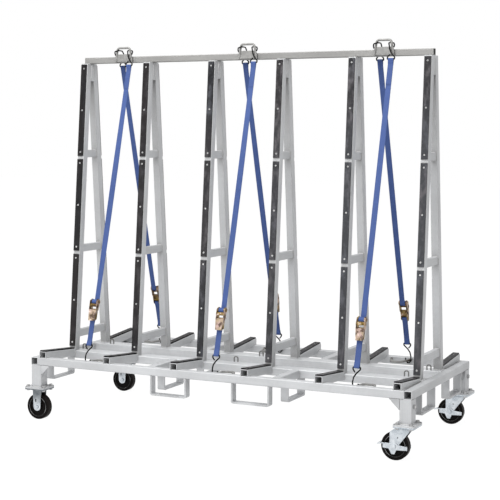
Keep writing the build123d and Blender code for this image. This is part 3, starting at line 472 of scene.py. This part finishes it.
def wheel_finish(name, centre):
    """Moulded black wheel: a grey ring painted on each side as a highlight, uneven along its way, fine
    grain and a dusty, brownish tread.
    """
    finish = Finish(name, 0.8 * MM)
    x, y, z = split(finish.place)
    across, up = x - float(centre[0]), z - float(centre[2])
    squared = across * across + up * up
    radius = squared.math("SQRT", squared)
    grain = noise(finish.place, 800.0, 2.0)
    dust = noise(finish.place, 60.0, 4.0)
    soft = WHEEL_RING_SOFT
    ring_start = radius.step(WHEEL_RING_IN - soft, WHEEL_RING_IN + soft)
    ring = ring_start * radius.step(WHEEL_RING_OUT - soft, WHEEL_RING_OUT + soft, 1.0, 0.0)
    tread = radius.step(58.0 * MM, 63.0 * MM)
    colour = (dust * 0.5 + tread * 0.5).mix(grey(0.002), (0.015, 0.011, 0.010, 1.0))
    highlight_share = noise(finish.place, 22.0, 2.0).step(0.42, 0.62, 0.15, 1.0)
    # Painted highlight: the grey ring, fading in places.
    colour = (ring * highlight_share).mix(colour, grey(0.36))
    return finish.surface(Base_Color=colour, Roughness=0.22 + grain * 0.1 + tread * 0.2,
                          Specular_IOR_Level=0.06, Normal=finish.bump(grain, 0.08 * MM, 0.5))


def webbing(name):
    """Woven polyester band: rows of slanted yarns and bound edges.

    Sewn runs are a little darker and carry three zigzags of thread.
    """
    finish = Finish(name, 0.1 * MM)
    along, across = finish.attribute("along"), finish.attribute("across")
    sewn = finish.attribute("sewn")
    side = across.math("ABSOLUTE", across)
    rib = across.wave(3.0 * MM)
    slant = (along + side * 0.9).wave(2.4 * MM)
    weave = rib * 0.55 + slant * 0.45
    fade = noise(finish.place, 30.0, 3.0)
    blend = weave * 0.6 + fade * 0.4
    colour = blend.mix((0.028, 0.066, 0.225, 1.0), (0.078, 0.132, 0.36, 1.0))
    bound = side.step(10.8 * MM, 11.4 * MM)
    colour = (bound * 0.35).mix(colour, (0.045, 0.08, 0.22, 1.0))
    zigzag = (along.wave(ZIGZAG_PITCH) - 0.5) * ZIGZAG_WIDTH
    thread = 0.0
    for row in (-THREAD_ROW, 0.0, THREAD_ROW):
        off = across - row - zigzag
        thread = off.math("ABSOLUTE", off).step(0.4 * MM, 0.8 * MM, 1.0, 0.0) + thread
    thread = thread * sewn
    colour = (sewn * 0.04).mix(colour, (0.020, 0.032, 0.10, 1.0))
    colour = (thread * 0.5).mix(colour, (0.016, 0.026, 0.10, 1.0))
    height = weave + thread * 0.8
    return finish.surface(Base_Color=colour, Roughness=0.62 + weave * 0.2,
                          Normal=finish.bump(height, 0.25 * MM, 0.8))


def dress(material, *names):
    """Gives CAD nodes their material."""
    for name in names:
        nodes[name].data.materials.clear()
        nodes[name].data.materials.append(material)


dress(drawn_metal("tube_along", "x"), "side_rails")
# Lighter copy of the tube metal for the sills, painted light.
dress(drawn_metal("sill_along_lit", "x", 0.57, 0.74), "sill_rails")
# Darker copy of the tube metal for the top rail, painted shade.
dress(drawn_metal("rail_along_shaded", "x", 0.25, 0.33, 1.01, 0.97), "top_rail")
dress(drawn_metal("tube_across", "y"), "end_rails", "cross_members", "a_frame_rungs")
# On the bunks the share over 1 paints light into the hollow tube ends.
dress(drawn_metal("bunk_tube_lit_inside", "y", shade_share=1.6), "bunks")
dress(drawn_metal("tube_upright", "z"), "corner_posts")
dress(drawn_metal("tube_leaning", "leg", 0.55, 0.69), "a_frame_legs")
dress(plate_metal("flat_bar"), "head_plates", "post_gussets", "caster_pads", "side_fork_loops",
      "end_fork_loops")
dress(ring_metal("ring_bar", 0.31, 0.0), "top_rings")
dress(ring_metal("marked_bar", 0.30, 45.0 * MM), "base_rings")
# The staples take a darker tone than the rings, painted shade.
dress(ring_metal("staple_wire_shaded", 0.18, 0.0), "rail_staples")
dress(bright_metal("fastener_steel", 0.44), "post_bolts", "caster_bolts")
caster_zinc = zinc("caster_zinc", 80.0 * MM, 140.0 * MM, 0.85)
rigid_zinc = zinc("rigid_zinc", 60.0 * MM, 130.0 * MM, 0.30)
ratchet_gold = yellow_zinc("ratchet_gold", (0.30, 0.20, 0.06, 1.0), (0.30, 0.19, 0.10, 1.0), 0.8)
handle_rose = yellow_zinc("handle_rose", (0.42, 0.32, 0.22, 1.0), (0.52, 0.38, 0.34, 1.0), 0.8)
dress(caster_zinc, "swivel_plates", "king_pins")
dress(rigid_zinc, "rigid_forks", "rigid_axles")
dress(rubber("strip_rubber"), "leg_rubbers")
dress(rubber("bunk_rubber", 0.3, 0.05), "bunk_rubbers")
dress(coated_wire("hook_coating"), "upper_hooks", "lower_hooks")
dress(ratchet_gold, "ratchet_frames", "ratchet_pins")
for side in ("front", "rear"):
    dress(caster_zinc, "swivel_fork_" + side, "swivel_axle_" + side, "brake_lever_" + side)
    for kind in ("rigid_wheel_", "swivel_wheel_"):
        low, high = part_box(kind + side)
        dress(wheel_finish(kind + side + "_black", (low + high) / 2), kind + side)
    for number in (1, 2, 3):
        place = "%s_%d" % (side, number)
        dress(handle_rose, "ratchet_handle_" + place)
        dress(ratchet_gold, "ratchet_pawl_" + place)


# Meshes
def tube_faces(rings, count, closed=False):
    """Quads between rings of count points each, with a polygon over each end unless closed to a loop."""
    spans = rings if closed else rings - 1
    ring, point = np.meshgrid(np.arange(spans), np.arange(count), indexing="ij")
    after = (point + 1) % count
    ahead = (ring + 1) % rings
    here, there = ring * count, ahead * count
    quads = np.stack([here + point, here + after, there + after, there + point], -1)
    faces = quads.reshape(-1, 4).tolist()
    if not closed:
        faces.append(list(range(count))[::-1])
        faces.append(list(range((rings - 1) * count, rings * count)))
    return faces


def make_piece(name, points, faces, material, body, slot, **attributes):
    """A smooth mesh piece in the row frame that rides on a body, with values carried on its points."""
    mesh = bpy.data.meshes.new(name)
    mesh.from_pydata(points.reshape(-1, 3).tolist(), [], faces)
    for key, values in attributes.items():
        layer = mesh.attributes.new(key, "FLOAT", "POINT")
        layer.data.foreach_set("value", values.astype(np.float32).ravel())
    mesh.set_sharp_from_angle(angle=radians(40))
    mesh.materials.append(material)
    piece = bpy.data.objects.new(name, mesh)
    bpy.context.scene.collection.objects.link(piece)
    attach(piece, body)
    return piece


def run(start, end, count):
    """Points of a straight run, without its end."""
    return np.linspace(start, end, count, endpoint=False)


def arc(centre, radius, first, last, count):
    """Points of an arc in the (along, away) plane, angles in degrees from the along direction."""
    angle = np.radians(np.linspace(first, last, count))
    return np.stack([centre + radius * np.cos(angle), radius * np.sin(angle)], -1)


STRAP_UP = (STRAP_TOP - STRAP_BOTTOM) / np.linalg.norm(STRAP_TOP - STRAP_BOTTOM)
STRAP_LENGTH = np.linalg.norm(STRAP_TOP - STRAP_BOTTOM)
STRAP_ACROSS = np.array([1.0, 0.0, 0.0]) - STRAP_UP * STRAP_UP[0]
STRAP_ACROSS /= np.linalg.norm(STRAP_ACROSS)
STRAP_AWAY = np.cross(STRAP_ACROSS, STRAP_UP)
AT_WIRE = HOOK_WIRE_R + WRAP_GAP + WEB_THICK / 2
AT_PIN = PIN_R + WRAP_GAP + WEB_THICK / 2
AT_COIL = COIL_R + SIDE_GAP + WEB_THICK / 2


class StrapPlace:
    """Where one strap lies: the front strap of a ring, or its half turn about the ring for the rear."""

    def __init__(self, ring_x, side):
        turn = np.array([1.0, 1.0, 1.0]) if side == "front" else np.array([-1.0, -1.0, 1.0])
        self.origin = STRAP_BOTTOM * turn + np.array([ring_x, 0.0, 0.0])
        self.across, self.up, self.away = STRAP_ACROSS * turn, STRAP_UP * turn, STRAP_AWAY * turn

    def points(self, u, s, w):
        """Points in the row frame from arrays of places across, along and away from the cart."""
        u, s, w = [np.asarray(part)[..., None] for part in (u, s, w)]
        return self.origin + u * self.across + s * self.up + w * self.away


def band_outline():
    """Cross section of the webbing: flat faces and rounded edges, as (across, through)."""
    angle = np.radians(np.arange(0, 360, 15))
    across = np.sign(np.cos(angle)) * np.abs(np.cos(angle)) ** 0.35
    through = np.sign(np.sin(angle)) * np.abs(np.sin(angle)) ** 0.5
    return across * WEB_WIDTH / 2, through * WEB_THICK / 2


def band(path, place, closed=False, twist=0.0):
    """Webbing along a path in the (along, away) plane, turned about it by the twist at each point.

    Gives its points, the length along it and the distance across it.
    """
    if closed:
        step = np.roll(path, -1, 0) - np.roll(path, 1, 0)
    else:
        step = np.gradient(path, axis=0)
    step /= np.linalg.norm(step, axis=1)[:, None]
    normal = np.stack([step[:, 1], -step[:, 0]], -1)
    across, through = band_outline()
    turn = np.broadcast_to(twist, len(path))[:, None]
    rise = across * np.sin(turn) + through * np.cos(turn)
    flat = path[:, None, :] + rise[..., None] * normal[:, None, :]
    points = place.points(across * np.cos(turn) - through * np.sin(turn), flat[..., 0], flat[..., 1])
    lengths = np.linalg.norm(np.diff(path, axis=0), axis=1)
    along = np.concatenate([[0.0], np.cumsum(lengths)])
    along = np.broadcast_to(along[:, None], flat.shape[:2])
    return points, along, np.broadcast_to(across, flat.shape[:2])


def long_strap(place, name, material, twist):
    """The band from the spool up to the hook, round its wire and back down, sewn to itself.

    Between its ends it turns by up to the twist, an angle that rises and falls as a squared sine.
    """
    top, sewn, part = STRAP_LENGTH, STRAP_LENGTH - SEWN_LENGTH, STRAP_LENGTH - PART_LENGTH
    rise = (AT_COIL - AT_WIRE) / (top - SPOOL_S)
    lie, leave = [-AT_WIRE - rise * (top - s) + WEB_THICK for s in (sewn, part)]
    path = np.concatenate([run((SPOOL_S, -AT_COIL), (top, -AT_WIRE), 90),
                           arc(top, AT_WIRE, -90, 90, ARC_POINTS)[:-1],
                           run((top, AT_WIRE), (part, leave), PART_POINTS),
                           run((part, leave), (sewn, lie), 10),
                           [(sewn, lie)]])
    free = np.clip((path[:, 0] - SPOOL_S - FLAT_LENGTH) / (sewn - SPOOL_S - 2 * FLAT_LENGTH), 0, 1)
    points, along, across = band(path, place, twist=twist * np.sin(np.pi * free) ** 2)
    down = np.broadcast_to((top - path[:, 0])[:, None], along.shape)
    stitched = ((down > PART_LENGTH) & (down < SEWN_LENGTH)).astype(float)
    piece = make_piece(name, points, tube_faces(*along.shape), material, "cart", "blue_webbing",
                       along=along, across=across, sewn=stitched)
    middle = place.points(np.zeros(len(path)), path[:, 0], path[:, 1])
    return piece


def short_strap(place, name, material):
    """The sewn loop of webbing between the lower hook and the ratchet's fixed pin."""
    low, high = PART_LENGTH, PIN_S - PART_LENGTH
    half = WEB_THICK / 2
    path = np.concatenate([arc(0, AT_WIRE, -90, -270, ARC_POINTS)[:-1],
                           run((0, AT_WIRE), (low, half), PART_POINTS),
                           run((low, half), (high, half), FLAT_POINTS),
                           run((high, half), (PIN_S, AT_PIN), PART_POINTS),
                           arc(PIN_S, AT_PIN, 90, -90, ARC_POINTS)[:-1],
                           run((PIN_S, -AT_PIN), (high, -half), PART_POINTS),
                           run((high, -half), (low, -half), FLAT_POINTS),
                           run((low, -half), (0, -AT_WIRE), PART_POINTS)])
    points, along, across = band(path, place, closed=True)
    stitched = ((path[:, 0] > low) & (path[:, 0] < high)).astype(float)
    stitched = np.broadcast_to(stitched[:, None], along.shape)
    faces = tube_faces(*along.shape, closed=True)
    piece = make_piece(name, points, faces, material, "cart", "blue_webbing",
                       along=along, across=across, sewn=stitched)
    front = path[:2 * (ARC_POINTS - 1) + 2 * PART_POINTS + FLAT_POINTS]
    middle = place.points(np.zeros(len(front)), front[:, 0], front[:, 1])
    return piece


def coil(place, name, material, body):
    """Webbing wound on the mandrel: a spiral that grows by one thickness and a gap in each turn."""
    angle = np.linspace(-90 - 360 * COIL_TURNS, -90, 81)
    first = SPOOL_R + COIL_GAP / 2 + WEB_THICK / 2
    radius = first + (COIL_R - WEB_THICK / 2 - first) * np.linspace(0, 1, len(angle))
    turn = np.radians(angle)
    path = np.stack([SPOOL_S + radius * np.cos(turn), radius * np.sin(turn)], -1)
    points, along, across = band(path, place)
    return make_piece(name, points, tube_faces(*along.shape), material, body, "blue_webbing",
                      along=along, across=across, sewn=np.zeros(along.shape))


def turned(place, profile, count=28):
    """Rings of a turned piece across the strap at the spool, from (across, radius) steps."""
    angle = np.linspace(0, 2 * np.pi, count, endpoint=False)
    u, radius = np.array(profile).T[:, :, None]
    s = SPOOL_S + radius * np.cos(angle)
    w = radius * np.sin(angle)
    return place.points(np.broadcast_to(u, s.shape), s, w)


def spool(place, name, material, body):
    """Mandrel and shaft with headed ends, and a toothed wheel outside each side plate."""
    half = [(MANDREL_HALF, SPOOL_R), (MANDREL_HALF, SHAFT_R),
            (SHAFT_HALF, SHAFT_R), (SHAFT_HALF, SHAFT_HEAD_R),
            (SHAFT_HEAD_HALF, SHAFT_HEAD_R), (SHAFT_TIP_HALF, SHAFT_TIP_R)]
    profile = [(-u, r) for u, r in reversed(half)] + half
    points = turned(place, profile)
    faces = tube_faces(*points.shape[:2])
    points = points.reshape(-1, 3)
    pitch = 360 / TEETH
    angle = np.radians(np.arange(TEETH)[:, None] * pitch + np.array([0.0, pitch / 4])).ravel()
    radius = np.tile([TOOTH_R, TOOTH_ROOT_R], TEETH)
    for low, high in ((-TOOTHED_OUTSIDE, -TOOTHED_INSIDE), (TOOTHED_INSIDE, TOOTHED_OUTSIDE)):
        u = np.array([low, high])[:, None] + np.zeros(len(angle))
        s = SPOOL_S + np.broadcast_to(radius * np.cos(angle), u.shape)
        w = np.broadcast_to(radius * np.sin(angle), u.shape)
        wheel = place.points(u, s, w)
        faces += [[i + len(points) for i in face] for face in tube_faces(2, len(angle))]
        points = np.concatenate([points, wheel.reshape(-1, 3)])
    return make_piece(name, points, faces, material, body, "gold_zinc")


# Greatest turn of each long strap, in radians
STRAP_TWIST = {"front_1": 0.50, "front_2": 0.45, "front_3": 0.12,
               "rear_1": 0.25, "rear_2": 0.30, "rear_3": 0.20}
web = webbing("woven_blue")
for number, ring_x in enumerate(RING_X, 1):
    for side in ("front", "rear"):
        label = "%s_%d" % (side, number)
        here = StrapPlace(ring_x, side)
        body = "ratchet_spool_" + label
        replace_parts(long_strap(here, "strap_long_" + label, web, STRAP_TWIST[label]), "long_straps")
        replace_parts(short_strap(here, "strap_short_" + label, web), "short_straps")
        metal = spool(here, "spool_metal_" + label, ratchet_gold, body)
        wound = coil(here, "spool_webbing_" + label, web, body)
        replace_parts(metal, body)
        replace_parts(wound, body)


# Screws
def screw_shape(turn):
    """One screw standing on its axis: eased head with a cross recess, and a plain shank."""
    angle = np.radians(np.arange(12) * 30 + turn)
    circle = np.stack([np.cos(angle), np.sin(angle)], -1)
    reach = np.array([CROSS_ARM, CROSS_ARM, CROSS_CORNER] * 4)
    bend = np.radians(np.array([-8.0, 8.0, 45.0] * 4) + np.repeat(np.arange(4) * 90, 3) + turn)
    cross = reach[:, None] * np.stack([np.cos(bend), np.sin(bend)], -1)
    rings = [(SCREW_SHANK_R * circle, SCREW_TIP_Z), (SCREW_SHANK_R * circle, SCREW_SEAT_Z),
             (SCREW_HEAD_R * circle, SCREW_SEAT_Z), (SCREW_HEAD_R * circle, SCREW_RIM_Z),
             (SCREW_FACE_R * circle, SCREW_FACE_Z), (cross, SCREW_FACE_Z),
             (cross * CROSS_TAPER, CROSS_FLOOR_Z)]
    return np.concatenate([np.column_stack([flat, np.full(12, z)]) for flat, z in rings])


def screw_piece(name, places, ups, outs, node):
    """Screws at points of the strips' outer faces, each along its own outward direction."""
    points, faces = [], []
    shape_faces = tube_faces(7, 12)
    for k, (spot, up, out) in enumerate(zip(places, ups, outs)):
        side = np.cross(up, out)
        shape = screw_shape(47.0 * k)
        points.append(spot + shape[:, :1] * side + shape[:, 1:2] * up + shape[:, 2:] * out)
        faces += [[i + k * len(shape) for i in face] for face in shape_faces]
    piece = make_piece(name, np.concatenate(points), faces, screw_steel, "cart", "bright_fastener")
    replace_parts(piece, node)


def leg_screws():
    """Three screws in each of the three strips on every leg."""
    along = []
    for i in range(3):
        middle = -STRIP_HEAD_GAP - STRIP_LENGTH * (i + 0.5) - i * STRIP_GAP
        along += [middle + step * (STRIP_LENGTH / 2 - SCREW_INSET) for step in (-1, 0, 1)]
    up, out = np.array([0, LEAN_SIN, LEAN_COS]), np.array([0, -LEAN_COS, LEAN_SIN])
    first = np.array([0, -LEG_HEAD_Y, LEG_TOP_Z]) + out * STRIP_THICK
    places = first + np.array(along)[:, None] * up
    return places, up, out


def bunk_screws():
    """Two screws in the strip on every bunk."""
    middle = (BUNK_START + BUNK_END) / 2
    half = (BUNK_END - BUNK_START) / 2 / LEAN_COS - BUNK_SCREW_INSET
    up, out = np.array([0, -LEAN_COS, LEAN_SIN]), np.array([0, LEAN_SIN, LEAN_COS])
    top = DECK_Z + BUNK_LIFT - LEAN * (HALF_Y - middle) + TUBE / LEAN_COS
    first = np.array([0, -middle, top]) + out * STRIP_THICK
    places = first + np.array([-half, half])[:, None] * up
    return places, up, out


def at_frames(places, up, out):
    """Front and rear copies of places and directions at every A-frame."""
    turn = np.array([-1.0, -1.0, 1.0])
    spots, ups, outs = [], [], []
    for x in FRAME_X:
        for half_turn in (np.ones(3), turn):
            spots.append(places * half_turn + np.array([x, 0, 0]))
            ups.append(np.broadcast_to(up * half_turn, places.shape))
            outs.append(np.broadcast_to(out * half_turn, places.shape))
    return np.concatenate(spots), np.concatenate(ups), np.concatenate(outs)


screw_steel = bright_metal("screw_steel")
screw_piece("leg_screw_heads", *at_frames(*leg_screws()), "strip_screws")
screw_piece("bunk_screw_heads", *at_frames(*bunk_screws()), "strip_screws")


# Weld beads
def leg_inside(z):
    """Distance of a leg's inner face from the middle plane, at height z."""
    return LEG_HEAD_Y + LEAN * (LEG_TOP_Z - z) - TUBE / LEAN_COS


def line_pair(x, y, z):
    """A straight bead's two ends, from a value or a pair for each direction."""
    return np.array([[np.broadcast_to(part, 2)[end] for part in (x, y, z)] for end in (0, 1)])


def frame_welds():
    """Beads of one A-frame at X = 0, front half: foot, rungs, head plates, top rail and bunk."""
    half, foot, inside = TUBE / 2, LEG_FOOT_Y, leg_inside(DECK_Z)
    beads = [line_pair((-FOOT_BEAD_HALF, FOOT_BEAD_HALF), y, DECK_Z) for y in (-foot, -inside)]
    for a in (-1, 1):
        foot_ends = (-foot + FOOT_BEAD_INSET, -inside - FOOT_BEAD_INSET)
        beads.append(line_pair(a * half, foot_ends, DECK_Z))
        rail_ends = (-HALF_Y + BEAD_INSET, -HALF_Y + TUBE - BEAD_INSET)
        beads.append(line_pair(a * half, rail_ends, DECK_Z))
        beads.append(line_pair(a * half, -SILL_OUTER, SILL_BEAD_Z))
        ends = np.array([HEAD_PLATE_Z, LEG_TOP_Z - BEAD_INSET])
        beads.append(line_pair(a * (half - PLATE_BEAD_SINK), tuple(-leg_inside(ends)), tuple(ends)))
        for z in RUNG_Z:
            ends = np.array([z - half + BEAD_INSET, z + half - BEAD_INSET])
            beads.append(line_pair(a * RUNG_WIDTH / 2, tuple(-leg_inside(ends)), tuple(ends)))
    for z in RUNG_Z:
        beads.append(line_pair((-RUNG_BEAD_HALF, RUNG_BEAD_HALF), -leg_inside(z + half), z + half))
    beads.append(line_pair((-RAIL_BEAD_HALF, RAIL_BEAD_HALF), -TOP_TUBE / 2, LEG_TOP_Z))
    return beads


def corner_welds():
    """Beads of the front right quarter of the base: cross member, loops, post and gussets."""
    half, low = TUBE / 2, DECK_Z - TUBE
    rail_ends = (-HALF_Y + BEAD_INSET, -HALF_Y + TUBE - BEAD_INSET)
    cross_ends = (low + BEAD_INSET, DECK_Z - FOOT_BEAD_INSET)
    beads = []
    for a in (-1, 1):
        for y in (-SILL_OUTER, -HALF_Y + TUBE):
            beads.append(line_pair(CROSS_X + a * half, y, cross_ends))
        for x in (SIDE_LOOP_X + a * SIDE_LOOP_HALF, SIDE_LOOP_X + a * (SIDE_LOOP_HALF - LOOP_THICK)):
            beads.append(line_pair(x, rail_ends, low))
        for column in (CROSS_X, HALF_X - half):
            column_ends = (column - half + BEAD_INSET, column + half - BEAD_INSET)
            for y in (END_LOOP_Y + a * END_LOOP_HALF, END_LOOP_Y + a * (END_LOOP_HALF - LOOP_THICK)):
                beads.append(line_pair(column_ends, -y, low))
        middle = POST / 2
        across = (HALF_X - POST + POST_BEAD_INSET, HALF_X - POST_BEAD_INSET)
        beads.append(line_pair(across, -HALF_Y + middle + a * middle, POST_BOTTOM))
        along = (-HALF_Y + POST_BEAD_INSET, -HALF_Y + POST - POST_BEAD_INSET)
        beads.append(line_pair(HALF_X - middle + a * middle, along, POST_BOTTOM))
    gusset_side = -HALF_Y + GUSSET_THICK
    gusset_z = (low - GUSSET + GUSSET_BEAD_INSET, low)
    gusset_x = (HALF_X - POST - GUSSET + GUSSET_BEAD_INSET, HALF_X - POST)
    gusset_y = (-HALF_Y + POST, -HALF_Y + POST + GUSSET - GUSSET_BEAD_INSET)
    beads.append(line_pair(HALF_X - POST, gusset_side, gusset_z))
    beads.append(line_pair(gusset_x, gusset_side, low))
    for a in (-1, 1):
        x = HALF_X - half + a * GUSSET_THICK / 2
        beads.append(line_pair(x, -HALF_Y + POST, gusset_z))
        beads.append(line_pair(x, gusset_y, low))
    return beads


def weld_beads():
    """All beads as one piece: six-sided runs, thinner at their ends and a little uneven along the way.

    The radius is a base radius times a rounded end, which falls with the fourth power of the place
    from -1 to 1, and times one plus a small sine that shifts from bead to bead.
    """
    turn = np.array([-1.0, -1.0, 1.0])
    frame_half = np.array(frame_welds())
    both = np.concatenate([frame_half, frame_half * turn])
    lines = [both + np.array([x, 0, 0]) for x in FRAME_X]
    quarter = np.array(corner_welds())
    lines += [quarter * np.array([a, b, 1.0]) for a in (-1, 1) for b in (-1, 1)]
    lines = np.concatenate(lines)
    start, run_vector = lines[:, 0], lines[:, 1] - lines[:, 0]
    length = np.linalg.norm(run_vector, axis=1)
    ahead = run_vector / length[:, None]
    helper = np.where(np.abs(ahead[:, 2:]) > 0.7, [[1.0, 0.0, 0.0]], [[0.0, 0.0, 1.0]])
    side = np.cross(ahead, helper)
    side /= np.linalg.norm(side, axis=1)[:, None]
    rise = np.cross(ahead, side)
    rings, corners = 8, 6
    place = np.linspace(0, 1, rings)
    ended = np.sqrt(np.clip(1.06 - (2 * place - 1) ** 4, 0, 1))
    uneven = 1 + 0.14 * np.sin(9.0 * place + 2.4 * np.arange(len(lines))[:, None])
    radius = BEAD_R * ended * uneven
    angle = np.linspace(0, 2 * np.pi, corners, endpoint=False)
    ring = side[:, None, :] * np.cos(angle)[:, None] + rise[:, None, :] * np.sin(angle)[:, None]
    middle = start[:, None, :] + place[:, None] * run_vector[:, None, :]
    points = middle[:, :, None, :] + radius[..., None, None] * ring[:, None, :, :]
    along = np.broadcast_to((place * length[:, None])[..., None], points.shape[:3])
    shape = tube_faces(rings, corners)
    faces = [[i + k * rings * corners for i in face] for k in range(len(lines)) for face in shape]
    make_piece("weld_beads", points, faces, weld_metal("weld_metal"), "cart", "frame_metal", along=along)


weld_beads()


# Floor, light and camera
def light_path(tree, *names):
    """1 for rays of these kinds."""
    kinds = [add_node(tree, "ShaderNodeLightPath", None, None, name) for name in names]
    return sum(kinds[1:], kinds[0])


def white_floor():
    """A pale floor that shows white, with a trace of its own shading."""
    mesh = bpy.data.meshes.new("floor")
    half = FLOOR_HALF
    corners = [(-half, -half, 0), (half, -half, 0), (half, half, 0), (-half, half, 0)]
    mesh.from_pydata(corners, [], [(0, 1, 2, 3)])
    paint = Finish("floor_paint")
    tree = paint.tree
    speckle = noise(paint.place, 3.0, 2.0)
    colour = speckle.mix(grey(0.64), grey(0.68))
    plain = add_node(tree, "ShaderNodeBsdfPrincipled", None, {"Base Color": colour, "Roughness": 0.8})
    white = add_node(tree, "ShaderNodeEmission", None, {"Color": grey(1.0), "Strength": FLOOR_GLOW})
    seen = light_path(tree, "Is Camera Ray", "Is Glossy Ray", "Is Transmission Ray") * FLOOR_WHITE
    mixed = add_node(tree, "ShaderNodeMixShader", None, {0: seen, 1: plain, 2: white})
    output = tree.nodes.new("ShaderNodeOutputMaterial")
    tree.links.new(mixed.socket, output.inputs["Surface"])
    mesh.materials.append(paint.material)
    floor = bpy.data.objects.new("floor", mesh)
    bpy.context.scene.collection.objects.link(floor)
    floor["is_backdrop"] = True


def white_world():
    """An even studio: white behind the object, softer as a light."""
    world = bpy.data.worlds.new("studio")
    bpy.context.scene.world = world
    world.use_nodes = True
    tree = world.node_tree
    tree.nodes.clear()
    seen = light_path(tree, "Is Camera Ray", "Is Glossy Ray", "Is Transmission Ray")
    level = seen.step(0.0, 1.0, WORLD_LEVEL, 1.0)
    backdrop = add_node(tree, "ShaderNodeBackground", None, {"Color": grey(1.0), "Strength": level})
    output = tree.nodes.new("ShaderNodeOutputWorld")
    tree.links.new(backdrop.socket, output.inputs["Surface"])


def soft_boxes():
    """Two large soft lights, each with its place, size and power: a low wide one and one above."""
    boxes = {"front_left": ((-2.9, -6.4, 0.95), (7.0, 1.7), 60.0),
             "above": ((-0.3, -2.4, 4.9), (5.0, 4.4), 270.0)}
    for name, (spot, (wide, tall), power) in boxes.items():
        lamp = bpy.data.lights.new(name, "AREA")
        lamp.shape = "RECTANGLE"
        lamp.size, lamp.size_y = wide, tall
        lamp.energy = power
        holder = bpy.data.objects.new(name, lamp)
        bpy.context.scene.collection.objects.link(holder)
        holder.location = spot
        aim = LIGHT_AIM - np.array(spot)
        tilt = np.arccos(-aim[2] / np.linalg.norm(aim))
        holder.rotation_euler = (tilt, 0, np.arctan2(-aim[0], aim[1]))


def photo_camera():
    """The camera at the photograph's place and angle."""
    lens = bpy.data.cameras.new("photo_camera")
    lens.lens = CAMERA_LENS
    lens.sensor_width = CAMERA_SENSOR
    lens.shift_y = CAMERA_SHIFT
    lens.clip_end = CAMERA_REACH
    camera = bpy.data.objects.new("photo_camera", lens)
    bpy.context.scene.collection.objects.link(camera)
    camera.location = CAMERA_PLACE
    yaw, pitch, roll = radians(CAMERA_YAW), radians(90 - CAMERA_DOWN), radians(CAMERA_ROLL)
    turn = Matrix.Rotation(yaw, 3, "Z") @ Matrix.Rotation(pitch, 3, "X") @ Matrix.Rotation(roll, 3, "Z")
    camera.rotation_euler = turn.to_euler()
    bpy.context.scene.camera = camera


white_floor()
white_world()
soft_boxes()
photo_camera()
bpy.context.scene.view_settings.view_transform = "Standard"
bpy.context.view_layer.update()
low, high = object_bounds()
